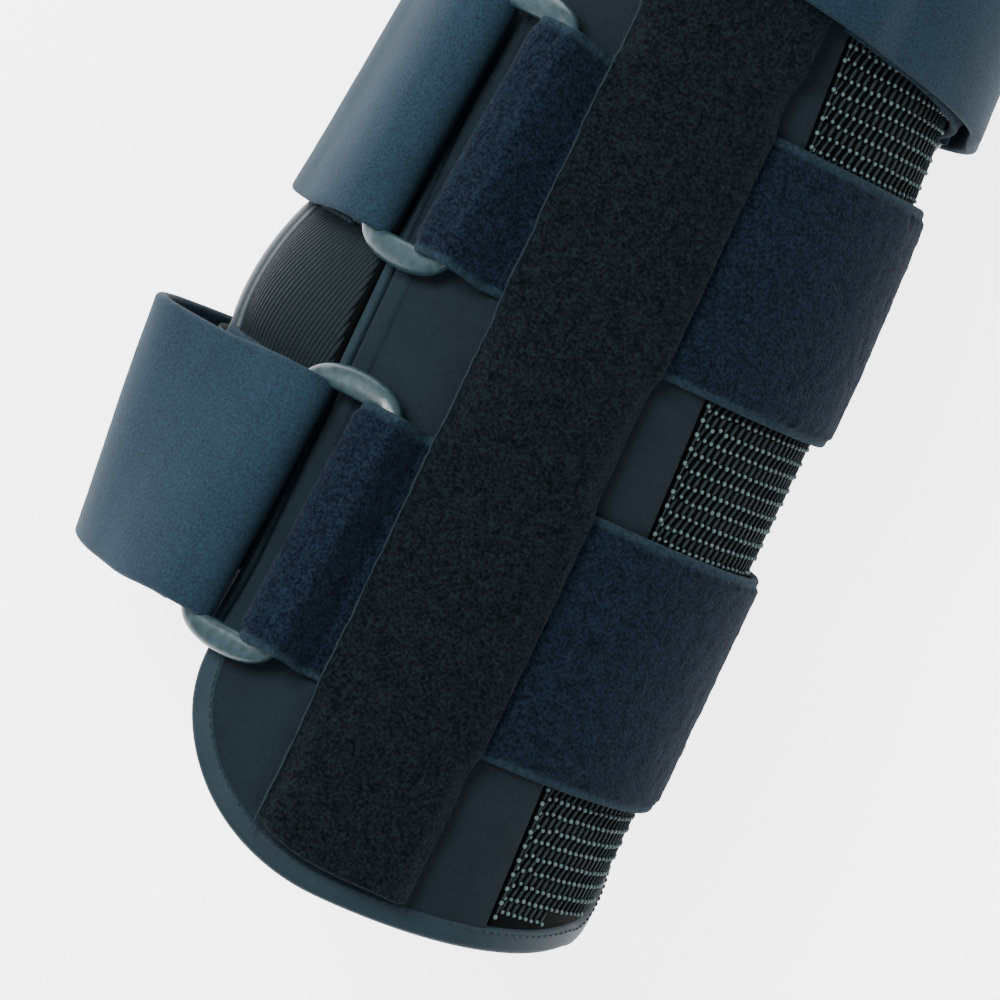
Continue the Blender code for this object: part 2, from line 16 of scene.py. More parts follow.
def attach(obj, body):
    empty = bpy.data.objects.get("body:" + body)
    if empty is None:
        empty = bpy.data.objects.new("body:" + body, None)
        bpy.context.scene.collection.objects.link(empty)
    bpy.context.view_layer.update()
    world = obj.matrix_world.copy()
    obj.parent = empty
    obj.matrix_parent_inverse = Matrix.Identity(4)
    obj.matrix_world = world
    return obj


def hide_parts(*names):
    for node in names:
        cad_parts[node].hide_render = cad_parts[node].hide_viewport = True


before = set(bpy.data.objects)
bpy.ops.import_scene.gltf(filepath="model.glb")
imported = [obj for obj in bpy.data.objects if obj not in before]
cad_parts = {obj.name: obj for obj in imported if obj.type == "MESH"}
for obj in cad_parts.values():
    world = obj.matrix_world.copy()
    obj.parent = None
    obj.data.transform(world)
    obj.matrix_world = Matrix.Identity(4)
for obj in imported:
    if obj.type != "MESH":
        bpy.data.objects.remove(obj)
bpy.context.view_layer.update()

bl_info = {
    "name": "Wrist splint looks",
    "version": (1, 0, 0),
    "blender": (4, 5, 0),
    "location": "3D View > Sidebar > Splint",
    "description": "Builds the visible pieces of the wrist splint over its CAD",
    "category": "Object",
}


def length(name, description, default, precision=4):
    """A distance in metres."""
    return FloatProperty(
        name=name, description=description, default=default, unit="LENGTH", precision=precision
    )


def degrees(name, description, default):
    return FloatProperty(name=name, description=description, default=default, precision=1)


def colour(name, description, default):
    return FloatVectorProperty(
        name=name, description=description, default=default, subtype="COLOR", size=3, max=1, min=0
    )


class SleeveSizes(bpy.types.PropertyGroup):
    """The arm-shaped hollow, its layers and the edges of its panels."""

    length: length("Length", "Elbow end to hand end", 0.236)
    half_height: length("Half height", "Half the hollow's height at the elbow end", 0.037)
    taper: FloatProperty(name="Taper", description="Half height lost per metre", default=0.0435)
    flat: FloatProperty(name="Flat share", description="How far down the flat lies", default=0.88)
    places: FloatVectorProperty(
        name="Places",
        description="Where the half widths below are measured",
        default=(0.0, 0.046, 0.103, 0.165, 0.236),
        size=5,
        unit="LENGTH",
    )
    left: FloatVectorProperty(
        name="Left",
        description="Half widths of the hollow on its left",
        default=(0.0432, 0.0402, 0.0332, 0.0290, 0.0320),
        size=5,
        unit="LENGTH",
    )
    right: FloatVectorProperty(
        name="Right",
        description="Half widths of the hollow on its right",
        default=(0.0400, 0.0393, 0.0388, 0.0350, 0.0365),
        size=5,
        unit="LENGTH",
    )
    gap: length("Gap", "Clearance between neighbouring layers", 0.0003)
    seam: length("Seam", "Clearance between panels sewn edge to edge", 0.0004)
    lining: length("Lining", "Thickness of the lining", 0.0010)
    panel: length("Panel", "Thickness of a sleeve panel", 0.0020)
    left_edge: length("Left edge", "Distance of the panel's left edge from the middle", 0.0273)
    thumb_edge: length("Thumb edge", "The same, beside the thumb", 0.0210)
    edge_ease: length("Edge ease", "Over what length the left edge draws in", 0.050)
    corner: length("Corner", "Radius of the elbow end's left corner", 0.027)
    binding: length("Binding", "Width of the binding tape", 0.0040)
    tape: length("Tape", "Width of the gusset's seam tape", 0.0014)
    side_angle: degrees("Side angle", "Where the side mesh panel ends", 100.0)
    piping_angle: degrees("Piping angle", "Where the piped seam lies", 261.5)
    piping_clear: degrees("Piping clearance", "Panels stop this far from the piped seam", 1.8)
    mesh_angle: degrees("Mesh angle", "Where the side mesh starts at the elbow end", 37.0)
    mesh_slant: FloatProperty(name="Mesh slant", description="Degrees per metre", default=80.0)
    right_start: length("Right start", "How far the right side is cut back", 0.005)
    lower_start: length("Lower start", "How far the lower side is cut back", 0.022)
    gusset_start: length("Gusset start", "Where the elastic gusset starts", 0.036)
    thumb_hole: length("Thumb hole", "Length of the thumb opening", 0.038)
    web: length("Web", "Length of the web beyond the thumb opening", 0.020)
    bulge: length("Bulge", "How far the gusset bulges between the straps", 0.0024)
    centring: length("Centring", "Sideways move that puts the box over the origin", 0.001864, 6)
    hem_start: length("Hem start", "Where the lower panel's hem starts", 0.031)
    rise: degrees("Rise", "Where the lower panel's elbow end starts to rise to the hem", 222.0)
    tape_start: length("Tape start", "Where the gusset's seam tape starts", 0.0262)
    overlap: degrees("Overlap", "How far neighbouring pieces meet over a seam", 0.7)
    flare: length("Elbow flare", "How much wider the left edge is at the elbow end", 0.0020)


class StrapSizes(bpy.types.PropertyGroup):
    """The three straps, the pile strip and the stay."""

    thick: length("Thickness", "Thickness of the strap", 0.0020)
    width: length("Width", "Width of every strap", 0.0381)
    hook: length("Hook", "Thickness of the hook tape", 0.0007)
    hook_length: length("Hook length", "Length of the hook tape", 0.038)
    strip: length("Strip", "Thickness of the pile strip", 0.0018)
    strip_width: length("Strip width", "Width of the pile strip", 0.0254)
    forearm: FloatVectorProperty(
        name="Forearm straps",
        description="Places of the two forearm straps",
        default=(0.0466, 0.1062),
        size=2,
        unit="LENGTH",
    )
    tab_show: length("Tab show", "Distance across from the strip to a forearm ring", 0.00695)
    forearm_tip: degrees("Forearm tip", "Angle of the forearm straps' tips", 242.0)
    wrist: length("Wrist strap", "Place of the wrist strap", 0.1529)
    wrist_slant: FloatProperty(
        name="Wrist slant", description="Metres per degree", default=-0.000090, precision=6
    )
    wrist_ring: degrees("Wrist ring", "Angle of the wrist strap's ring", 122.0)
    wrist_tip: degrees("Wrist tip", "Angle of the wrist strap's tip", -20.0)
    wrist_tab: degrees("Wrist tab", "Angle where the wrist strap's tab ends", 208.0)
    root_tuck: length("Root tuck", "How far a strap's root lies under the strip", 0.0035)
    flare: FloatVectorProperty(
        name="Flare",
        description="How far each free end's hand-side edge stands off the arm",
        default=(0.0092, 0.0010, 0.0008),
        size=3,
        unit="LENGTH",
    )
    selvage: length("Selvage", "Width of the bare edge of the pile", 0.0014)
    stay_width: length("Stay width", "Width of the stay", 0.015)
    stay_thick: length("Stay thickness", "Thickness of the stay", 0.0011)
    stay_length: length("Stay length", "Length of the stay", 0.200)
    stay_inset: length("Stay inset", "Distance of the stay from the elbow end", 0.012)


class RingSizes(bpy.types.PropertyGroup):
    """The moulded rings and the folds of strap round their bars."""

    window: length("Window clearance", "Room beside the strap in the ring", 0.0008)
    bar: length("Bar", "Width of the ring's bars", 0.0030)
    end: length("End", "Width of the ring's ends", 0.0036)
    thick: length("Thickness", "Thickness of the ring", 0.0024)
    pitch: length("Pitch", "Distance between the ring's bars", 0.0145)
    fold_leg: length("Fold leg", "Length of strap under the ring", 0.0050)
    tab_leg: length("Tab leg", "Length of tab under the ring", 0.0020)
    top_leg: length("Top leg", "Length of strap straight over the ring", 0.0024)
    leg_gap: length("Leg gap", "Room between the fold's leg and the band", 0.0020)
    slack: length("Tab slack", "How far the tab's loop hangs past the ring's bar", 0.0019)
    lift: length("Lift", "Room under the fold for the ring to turn", 0.0008)


class Colours(bpy.types.PropertyGroup):
    """Colours of the finishes, as scene-linear values."""

    pile_dark: colour("Pile shade", "Deep between the pile's loops", (0.0012, 0.0024, 0.0050))
    pile_light: colour("Pile light", "Tips of the pile's loops", (0.0075, 0.0150, 0.0280))
    strip_dark: colour("Strip shade", "Deep between the strip's loops", (0.0012, 0.0020, 0.0026))
    strip_light: colour("Strip light", "Tips of the strip's loops", (0.0075, 0.0125, 0.0160))
    selvage: colour("Selvage", "Bare edge of the pile fabric", (0.0185, 0.0380, 0.0530))
    strap_dark: colour("Strap shade", "Between the yarns of the ends", (0.0042, 0.0108, 0.0180))
    strap_light: colour("Strap light", "Yarns of the straps' smooth ends", (0.0125, 0.0295, 0.0460))
    laminate_dark: colour("Laminate shade", "Sleeve fabric, its darker yarns", (0.0035, 0.0070, 0.0100))
    laminate_light: colour("Laminate light", "Sleeve fabric, its lighter yarns", (0.0075, 0.0140, 0.0190))
    binding: colour("Binding", "Binding tape", (0.0125, 0.0250, 0.0345))
    thread: colour("Thread", "Sewing thread", (0.0130, 0.0215, 0.0280))
    mesh_base: colour("Mesh ground", "Cloth behind the mesh", (0.0006, 0.0008, 0.0010))
    mesh_dot: colour("Mesh yarn", "Knots of the mesh", (0.0380, 0.0660, 0.0710))
    mesh_link: colour("Mesh link", "Threads between the knots", (0.0080, 0.0135, 0.0155))
    rib: colour("Rib", "Ribs of the elastic", (0.0068, 0.0110, 0.0140))
    # Painted shade: the elastic between the ribs is the same elastic as the ribs, coloured near black for
    # the shade in the grooves.
    rib_ground: colour("Rib ground", "Between the ribs", (0.0005, 0.0007, 0.0010))
    ring_dark: colour("Ring shade", "Moulded ring", (0.0090, 0.0230, 0.0290))
    # Painted highlight: the lighter ring colour stands for the bright edges, and the finish lays it in
    # random patches.
    ring_light: colour("Ring light", "Worn edges of the ring", (0.0220, 0.0480, 0.0570))
    lining: colour("Lining", "Lining cloth", (0.050, 0.058, 0.066))
    stay: colour("Stay", "Brushed aluminium", (0.620, 0.630, 0.640))
    ridge: colour("Strip edge", "Raised edge of the pile strip", (0.0100, 0.0180, 0.0230))
    floor: colour("Floor", "The floor and the background", (0.95, 0.95, 0.95))


class StageSettings(bpy.types.PropertyGroup):
    """Camera and lights."""

    distance: length("Distance", "Camera to its target", 0.78)
    target: FloatVectorProperty(
        name="Target",
        description="What the camera looks at",
        default=(0.0016, -0.0563, 0.0720),
        size=3,
        subtype="XYZ",
        unit="LENGTH",
    )
    lean_left: degrees("Lean left", "Camera's lean towards the left of the sleeve", 7.2)
    lean_hand: degrees("Lean to hand", "Camera's lean towards the hand", 3.9)
    roll: degrees("Roll", "How far the arm leans to the right in the view", 26.15)
    lens: FloatProperty(name="Lens", description="Focal length in millimetres", default=198.0)
    key: FloatProperty(name="Key", description="Power of the main light in watts", default=11.0)
    fill: FloatProperty(name="Fill", description="Power of the fill light in watts", default=4.0)
    glow: FloatProperty(name="Glow", description="Light given off by the pale floor", default=3.6)
    world: FloatProperty(name="Surround", description="Strength of the surround", default=0.6)


# Small sizes that no user would change, in metres, and angles in degrees

ROUND = 0.0009  # radius of the edges of straps, bindings and the strip
PANEL_ROUND = 0.0006  # radius of the edges of the panels
SEAM_ROUND = 0.0004  # radius of the edges of the seam tape
HOOK_ROUND = 0.0003  # radius of the edges of the hook tape
NEAR_EDGE = (0, 0.08, 0.3, 0.62)  # shares of the edge's radius at which a slab has rows
PILE_STEP = 0.00062  # rows of the pile's mesh
STRIP_STEP = 0.00056
PANEL_STEP = 0.002
LINING_STEP = 0.0025
GUSSET_STEP = 0.0015
BINDING_STEP = 0.0006
FLARE_FROM, FLARE_TO = 0.015, 0.040  # where the left edge draws in from the elbow end
SIDE_TURN, UNDER_TURN = 65, 115  # between these the elbow end steps back under the arm
SETTLE = 24.0  # over what turn a free end comes down from its ring
CLIMB_FROM, CLIMB_TO = 5.0, 16.0  # past the strip's edge, where a free end climbs over it
SEWN_NEAREST, SEWN_USUAL, SEWN_CLEAR = 4.0, 10.0, 6.0  # turns within which a tab comes down
TAB_EASE, END_EASE = 0.006, 0.014  # run over which a fold blends into its wrap
TIP_CORNER, TIP_CUT = 0.004, 0.6  # size and depth of the cut corners of a tip
BARE_DROP = 0.00055  # how far the bare edge lies below the pile
ROOT_REACH = 0.002  # how far the wrist strap's root lies beyond the strip's edge
HOOK_PITCH, HOOK_ROW, HOOK_MARGIN = 0.0016, 0.0017, 0.0015
HOOK_WIDE, HOOK_TALL = 0.00028, 0.00022
TAPE_SHARE = 0.45  # share of the hook tape's thickness that is its ground
RING_SHOULDER, RING_BEND = 0.0022, 0.0012  # where a ring's ends start, and its window's corners
RING_TILT, RING_SWELL = 0.0004, 0.18  # how the ring's ends lean and thicken
RIB_SPACING, RIB_STEP, RIB_SINK = 0.0033, 0.0011, 0.00045
RIB_TURNS = (27.0, 14.0)  # the ribs' angle to the arm, at the piping and at the seam tape
GUSSET_SINK = 0.0005  # the gusset's ground below the panels' face
GUSSET_ENDS = 0.012  # over what length the gusset's bulge starts and stops
PIPING_RADIUS, PIPING_RAISED, PIPING_TURN = 0.0015, 0.0004, 6.5
TAPE_RAISED = 0.0003  # binding and seam tape above the panels' face
HAND_RAISED = -0.0001  # the hand end's binding, low so that the stay slides over it
BINDING_RUN = 40  # a binding's run in its own pattern, in widths
CORNER_SHARE = 0.42  # share of the elbow end's binding that goes round the corner
STAY_WAY = (-15.0, 13.0)  # angles between which the hand end has no stitches
STITCH = (0.00052, 0.00016, 0.00014)  # half length, half width and half height
STITCH_RAISED = 0.00036
SEWN_ROWS = (0.002, 0.0045)  # rows of stitches back from the end of the wrist strap's tab
KNOT_PITCH, NEAR_ROW, FAR_ROW = 0.00122, 0.00208, 0.00236  # the mesh's knots and rows
KNOT = (0.00034, 0.00027, 0.00028)
THREAD = (0.00125, 0.00021, 0.00026)
WEB = (0.00130, 0.00026, 0.00022)
SEAM_STITCH = (0.00040, 0.00034, 0.00028)
SEAM_THREAD = (0.0009, 0.00015, 0.00014)
MESH_SINK = 0.0006  # the mesh's ground below the panels' face
THREAD_TURN, WEB_TURN = 0.29, 0.20  # the threads' slants, in radians
SEAM_PITCH = 0.0022
RIDGE_STEP, RIDGE_RADIUS = 0.0008, 0.00017
STRIP_DROP, STRIP_SEWN = 0.45, 0.0013  # how low the strip's edge is drawn between the straps
STAY_CORNER, STAY_EDGE = 1e-5, 0.00025
FLOOR_SIZE, FLOOR_DROP = 8, 0.0005
KEY_PLACE, KEY_SIZE = (-0.42, 0.20, 0.62), 0.35
FILL_PLACE, FILL_SIZE = (0.45, -0.35, 0.70), 0.60


def sleeve():
    return bpy.context.scene.splint_sleeve


def strap_sizes():
    return bpy.context.scene.splint_straps


def ring_sizes():
    return bpy.context.scene.splint_rings


def colours():
    return bpy.context.scene.splint_colours


def stage_settings():
    return bpy.context.scene.splint_stage


# Layers and edges, each as the CAD has them


def panel_in():
    return sleeve().lining + sleeve().gap


def panel_out():
    return panel_in() + sleeve().panel


def strap_in():
    return panel_out() + sleeve().gap


def strap_out():
    return strap_in() + strap_sizes().thick


def strip_in():
    return strap_out() + sleeve().gap


def strip_out():
    return strip_in() + strap_sizes().strip


def end_in():
    return strap_out() + 2 * sleeve().gap + strap_sizes().hook


def fold_in():
    return ring_sizes().bar / 2 + sleeve().gap


def bar_height():
    return panel_out() + ring_sizes().lift + fold_in() + strap_sizes().thick


def gusset_end():
    return sleeve().length - sleeve().binding - sleeve().web - sleeve().thumb_hole


def web_start():
    return sleeve().length - sleeve().binding - sleeve().web


def web_angle():
    return lower_end() - 360 - sleeve().overlap


def lower_end():
    return sleeve().piping_angle - sleeve().piping_clear


def ease(low, high, value):
    share = np.clip((value - low) / (high - low), 0, 1)
    return share * share * (3 - 2 * share)


def mix(start, end, share):
    return start + (end - start) * share


def smooth_curve(y, places, values):
    """Values between those given, on a smooth curve through them."""
    count = len(places)
    y = np.clip(y, places[0], places[-1])
    at = np.clip(np.searchsorted(places, y, side="right") - 1, 0, count - 2)
    before = np.maximum(np.arange(count) - 1, 0)
    after = np.minimum(np.arange(count) + 1, count - 1)
    slopes = (values[after] - values[before]) / (places[after] - places[before])
    run = places[at + 1] - places[at]
    t = (y - places[at]) / run
    return (
        (2 * t**3 - 3 * t**2 + 1) * values[at]
        + (t**3 - 2 * t**2 + t) * slopes[at] * run
        + (3 * t**2 - 2 * t**3) * values[at + 1]
        + (t**3 - t**2) * slopes[at + 1] * run
    )


def half_width(y, turn):
    """Half width of the hollow on the side to which this turn goes."""
    size = sleeve()
    places = np.array(size.places)
    left = smooth_curve(y, places, np.array(size.left))
    right = smooth_curve(y, places, np.array(size.right))
    return np.where(np.sin(turn) > 0, right, left)


def surface(y, angle, offset):
    """Points at these places along the arm and angles round it, offset outwards."""
    size = sleeve()
    floor = strap_out()
    y, angle, offset = np.broadcast_arrays(*(np.asarray(a, float) for a in (y, angle, offset)))
    turn = np.radians(angle)
    wide = half_width(y, turn)
    tall = size.half_height - size.taper * y
    out_x, out_z = np.sin(turn) / wide, np.cos(turn) / tall
    norm = np.hypot(out_x, out_z)
    x = wide * np.sin(turn) + offset * out_x / norm
    z = floor + (size.flat + np.cos(turn)) * tall + offset * out_z / norm
    return np.stack((x, y - size.length / 2, np.maximum(z, floor - offset)), axis=-1)


def point(y, angle, offset):
    return Vector(surface(y, angle, offset))


def angle_at(y, x, offset):
    """The angle on the upper side at which the offset surface is x from the middle."""
    wide = half_width(y, np.where(np.asarray(x) > 0, 1.0, -1.0)) + offset
    return np.degrees(np.arcsin(np.clip(x / wide, -1, 1)))


def arc_degrees(y, angle, distance, offset):
    """How many degrees round the sleeve this distance is."""
    step = surface(y, angle + 0.5, offset) - surface(y, angle - 0.5, offset)
    return distance / np.linalg.norm(step, axis=-1)


def left_edge(y):
    """Angle of the upper panel's left edge, which draws in beside the thumb."""
    size = sleeve()
    drawn = ease(gusset_end() - size.edge_ease, gusset_end(), y)
    wide = size.left_edge + size.flare * (1 - ease(FLARE_FROM, FLARE_TO, y))
    return angle_at(y, -mix(wide, size.thumb_edge, drawn), panel_out())


def mesh_edge(y):
    return sleeve().mesh_angle - sleeve().mesh_slant * y


def bound_angle(y, clearance):
    edge = left_edge(y)
    return edge + arc_degrees(y, edge, sleeve().binding + clearance, panel_out())


def right_outline(angle):
    """Where the sleeve starts along the arm, right of its middle and below."""
    size = sleeve()
    right = size.right_start * (np.minimum(angle, SIDE_TURN) / SIDE_TURN) ** 2
    lower = (size.lower_start - size.right_start) * ease(SIDE_TURN, UNDER_TURN, angle)
    risen = ease(size.rise, lower_end(), angle)
    return right + lower + (size.hem_start - size.lower_start) * risen


# Noise that is the same on every run


def lattice(ix, iy, seed):
    """A random number from 0 to 1 for each whole-numbered place."""
    mixed = (ix * 73856093) ^ (iy * 19349663) ^ (seed * 83492791)
    mixed = (mixed ^ (mixed >> 13)) * 1274126177 & 0x7FFFFFFF
    return ((mixed ^ (mixed >> 16)) & 0xFFFFFF) / 0xFFFFFF


def value_noise(a, b, cell, seed):
    """Smooth noise from -1 to 1 with features of this size."""
    a, b = np.asarray(a, float) / cell, np.asarray(b, float) / cell
    ia, ib = np.floor(a).astype(np.int64), np.floor(b).astype(np.int64)
    fa, fb = a - ia, b - ib
    fa, fb = fa * fa * (3 - 2 * fa), fb * fb * (3 - 2 * fb)
    low = mix(lattice(ia, ib, seed), lattice(ia + 1, ib, seed), fa)
    high = mix(lattice(ia, ib + 1, seed), lattice(ia + 1, ib + 1, seed), fa)
    return 2 * mix(low, high, fb) - 1


# Modelling


def only(obj):
    """Selects this object alone and makes it the active one."""
    bpy.ops.object.select_all(action="DESELECT")
    obj.select_set(True)
    bpy.context.view_layer.objects.active = obj


def add_grid(name, points, values):
    """A grid primitive whose corners are moved to these points, with values kept on them."""
    columns, rows = points.shape[:2]
    bpy.ops.object.select_all(action="DESELECT")
    bpy.ops.mesh.primitive_grid_add(
        x_subdivisions=rows - 1, y_subdivisions=columns - 1, size=2, location=(0, 0, 0)
    )
    obj = bpy.context.object
    obj.name = name
    flat = np.empty(len(obj.data.vertices) * 3)
    obj.data.vertices.foreach_get("co", flat)
    flat = flat.reshape(-1, 3)
    row = np.rint((flat[:, 0] + 1) / 2 * (rows - 1)).astype(int)
    column = np.rint((flat[:, 1] + 1) / 2 * (columns - 1)).astype(int)
    obj.data.vertices.foreach_set("co", points[column, row].reshape(-1))
    for key, value in values.items():
        attribute = obj.data.attributes.new(key, "FLOAT", "POINT")
        kept = np.broadcast_to(value, (columns, rows))[column, row]
        attribute.data.foreach_set("value", kept.astype(np.float32))
    return obj


def weld(obj, smooth=50):
    """Merges touching corners, turns the faces outwards and shades the piece smooth."""
    only(obj)
    bpy.ops.object.mode_set(mode="EDIT")
    bpy.ops.mesh.select_all(action="SELECT")
    bpy.ops.mesh.remove_doubles(threshold=1e-6)
    bpy.ops.mesh.dissolve_degenerate(threshold=1e-7)
    bpy.ops.mesh.normals_make_consistent(inside=False)
    bpy.ops.object.mode_set(mode="OBJECT")
    bpy.ops.object.shade_smooth_by_angle(angle=math.radians(smooth))


def join(objects, name):
    """Joins the objects into the first."""
    bpy.ops.object.select_all(action="DESELECT")
    for obj in objects:
        obj.select_set(True)
    bpy.context.view_layer.objects.active = objects[0]
    bpy.ops.object.join()
    objects[0].name = name
    return objects[0]


def facing(points, away):
    """Unit normals of a grid of points, on the side away from the other grid."""
    along = np.gradient(points, axis=0)
    across = np.gradient(points, axis=1)
    normal = np.cross(along, across)
    normal /= np.maximum(np.linalg.norm(normal, axis=-1, keepdims=True), 1e-12)
    middle = tuple(n // 2 for n in points.shape[:2])
    if normal[middle] @ (points - away)[middle] < 0:
        normal = -normal
    return normal


def rounded(distance, radius):
    """Share of the thickness at this distance from a rounded edge."""
    near = np.clip(distance / radius, 0, 1)
    return np.sqrt(1 - (1 - near) ** 2)


def marks(start, end, step, edge=PANEL_ROUND):
    """Distances from start to end at about this step, closer together at both ends."""
    inside = np.linspace(start + edge, end - edge, max(2, int(round((end - start) / step))))
    near = edge * np.array(NEAR_EDGE)
    return np.concatenate((start + near, inside, (end - near)[::-1]))


def slab(name, place, along, across, fuzz=None, edge=PANEL_ROUND, values=None):
    """A closed thin piece: place(along, across, w) gives its points at w through it, from 0 on
    its inner face to 1 on its outer face. Its edges are round, and fuzz lifts its outer face."""
    a, b = np.meshgrid(along, across, indexing="ij")
    near_a = np.minimum(a - along[0], along[-1] - a)
    near_b = np.minimum(b - across[0], across[-1] - b)
    lift = rounded(near_a, edge) * rounded(near_b, edge)
    inner = place(a, b, 0.5 - 0.5 * lift)
    outer = place(a, b, 0.5 + 0.5 * lift)
    if fuzz is not None:
        outer = outer + facing(outer, inner) * (fuzz(a, b) * lift)[..., None]
    kept = {"edge": near_b, "run": a, **(values(a, b) if values else {})}
    top = add_grid(name, outer, {**kept, "side": 1.0})
    under = add_grid(name + "_under", inner, {**kept, "side": 0.0})
    obj = join([top, under], name)
    weld(obj)
    return obj


def shape_of(kind, **options):
    """Corners and faces of a small primitive, to be repeated."""
    bpy.ops.object.select_all(action="DESELECT")
    getattr(bpy.ops.mesh, kind)(**options)
    obj = bpy.context.object
    corners = np.array([v.co[:] for v in obj.data.vertices])
    faces = [tuple(p.vertices) for p in obj.data.polygons]
    bpy.data.objects.remove(obj)
    return corners, faces


def repeat(name, shape, centres, first, second, third):
    """One mesh of a small shape repeated at centres, along the three scaled axes at each."""
    corners, faces = shape
    count = len(centres)
    spread = (
        corners[None, :, 0, None] * first[:, None]
        + corners[None, :, 1, None] * second[:, None]
        + corners[None, :, 2, None] * third[:, None]
    )
    points = (centres[:, None] + spread).reshape(-1, 3)
    sizes = np.array([len(f) for f in faces])
    loops = np.array([i for f in faces for i in f])
    starts = np.concatenate(([0], np.cumsum(sizes)[:-1]))
    mesh = bpy.data.meshes.new(name)
    mesh.vertices.add(len(points))
    mesh.loops.add(len(loops) * count)
    mesh.polygons.add(len(faces) * count)
    mesh.vertices.foreach_set("co", points.reshape(-1))
    steps = np.arange(count)[:, None]
    mesh.loops.foreach_set("vertex_index", (loops + steps * len(corners)).reshape(-1))
    mesh.polygons.foreach_set("loop_start", (starts + steps * len(loops)).reshape(-1))
    mesh.update(calc_edges=True)
    mesh.validate()
    mesh.shade_smooth()
    obj = bpy.data.objects.new(name, mesh)
    bpy.context.collection.objects.link(obj)
    return obj


def repeat_beads(name, centre, first, second, third, halves):
    """Small rounded beads of these half lengths along the three axes at each centre."""
    shape = shape_of("primitive_uv_sphere_add", segments=8, ring_count=5, radius=1)
    axes = (axis * half for axis, half in zip((first, second, third), halves))
    return repeat(name, shape, centre, *axes)


def axes_on(y, angle, offset, heading=None):
    """Points on the sleeve with unit directions along the arm, across it and out of it. A
    heading in radians turns the first direction from along the arm towards across it."""
    centre = surface(y, angle, offset)
    along = surface(y + 1e-4, angle, offset) - surface(y - 1e-4, angle, offset)
    across = surface(y, angle + 0.05, offset) - surface(y, angle - 0.05, offset)
    along /= np.linalg.norm(along, axis=-1, keepdims=True)
    across /= np.linalg.norm(across, axis=-1, keepdims=True)
    out = np.cross(across, along)
    out /= np.linalg.norm(out, axis=-1, keepdims=True)
    across = np.cross(along, out)
    if heading is not None:
        turn = np.asarray(heading, float)[..., None]
        along, across = (
            along * np.cos(turn) + across * np.sin(turn),
            across * np.cos(turn) - along * np.sin(turn),
        )
    return centre, along, across, out


# Finishes


class Finish:
    """A material under construction."""

    def __init__(self, name):
        self.material = bpy.data.materials.new(name)
        self.material.use_nodes = True
        self.tree = self.material.node_tree
        self.shader = self.tree.nodes["Principled BSDF"]
        self.place = self.add("ShaderNodeTexCoord").outputs["Object"]

    def add(self, kind, **settings):
        node = self.tree.nodes.new(kind)
        for key, value in settings.items():
            setattr(node, key, value)
        return node

    def set(self, node, **inputs):
        for key, value in inputs.items():
            socket = node.inputs[key.replace("_", " ")]
            if isinstance(value, bpy.types.NodeSocket):
                self.tree.links.new(value, socket)
            else:
                socket.default_value = value
        return node

    def noise(self, scale, detail=2.0, roughness=0.5, vector=None):
        node = self.add("ShaderNodeTexNoise")
        self.set(node, Vector=vector or self.place, Scale=scale, Detail=detail)
        node.inputs["Roughness"].default_value = roughness
        return node.outputs["Fac"]

    def attribute(self, name):
        node = self.add("ShaderNodeAttribute", attribute_name=name)
        return node.outputs["Fac"]

    def math(self, operation, first, second=0.5):
        node = self.add("ShaderNodeMath", operation=operation)
        for socket, value in zip(node.inputs, (first, second)):
            if isinstance(value, bpy.types.NodeSocket):
                self.tree.links.new(value, socket)
            else:
                socket.default_value = value
        return node.outputs["Value"]

    def span(self, value, low, high, start=0.0, end=1.0):
        node = self.add("ShaderNodeMapRange")
        node.inputs["From Min"].default_value = low
        node.inputs["From Max"].default_value = high
        node.inputs["To Min"].default_value = start
        node.inputs["To Max"].default_value = end
        self.tree.links.new(value, node.inputs["Value"])
        return node.outputs["Result"]

    def blend(self, share, first, second):
        node = self.add("ShaderNodeMix", data_type="RGBA", blend_type="MIX")
        sockets = (node.inputs[0], node.inputs[6], node.inputs[7])
        for socket, value in zip(sockets, (share, first, second)):
            if isinstance(value, bpy.types.NodeSocket):
                self.tree.links.new(value, socket)
            elif isinstance(value, (int, float)):
                socket.default_value = value
            else:
                socket.default_value = (*value, 1)
        return node.outputs[2]

    def bump(self, height, distance, strength=1.0):
        node = self.add("ShaderNodeBump")
        self.set(node, Height=height, Distance=distance, Strength=strength)
        return node.outputs["Normal"]

    def done(self, base, roughness=0.9, normal=None, **inputs):
        if isinstance(base, bpy.types.NodeSocket):
            self.set(self.shader, Base_Color=base)
        else:
            self.set(self.shader, Base_Color=(*base, 1))
        self.set(self.shader, Roughness=roughness)
        if normal:
            self.set(self.shader, Normal=normal)
        for key, value in inputs.items():
            self.shader.inputs[key.replace("_", " ")].default_value = value
        return self.material


def scaled(base, share):
    """A colour made darker or lighter."""
    return tuple(value * share for value in base)


def pile_finish(name, dark, light, selvage=None):
    """Fuzzy knitted loops, with a bare woven edge where a selvage colour is given."""
    made = Finish(name)
    fine = made.noise(1900, 3.0, 0.7)
    clumps = made.noise(700, 2.0)
    depth = made.math("ADD", made.math("MULTIPLY", fine, 0.80), made.math("MULTIPLY", clumps, 0.20))
    shade = made.blend(made.span(depth, 0.40, 0.66), dark, light)
    normal = made.bump(depth, 0.00045, 0.9)
    if selvage:
        frayed = made.math("MULTIPLY", made.noise(900, 3.0), 0.0012)
        ragged = made.math("ADD", made.attribute("edge"), frayed)
        bare = made.span(ragged, 0.0014, 0.0022, 1.0, 0.0)
        bare = made.math("MULTIPLY", bare, made.attribute("bare"))
        shade = made.blend(bare, shade, made.blend(made.noise(1500, 2.0), selvage, dark))
    sheen = {"Sheen_Weight": 0.03, "Sheen_Roughness": 0.45, "Sheen_Tint": (0.55, 0.7, 0.9, 1.0)}
    return made.done(shade, 1.0, normal, **sheen, Specular_IOR_Level=0.05)


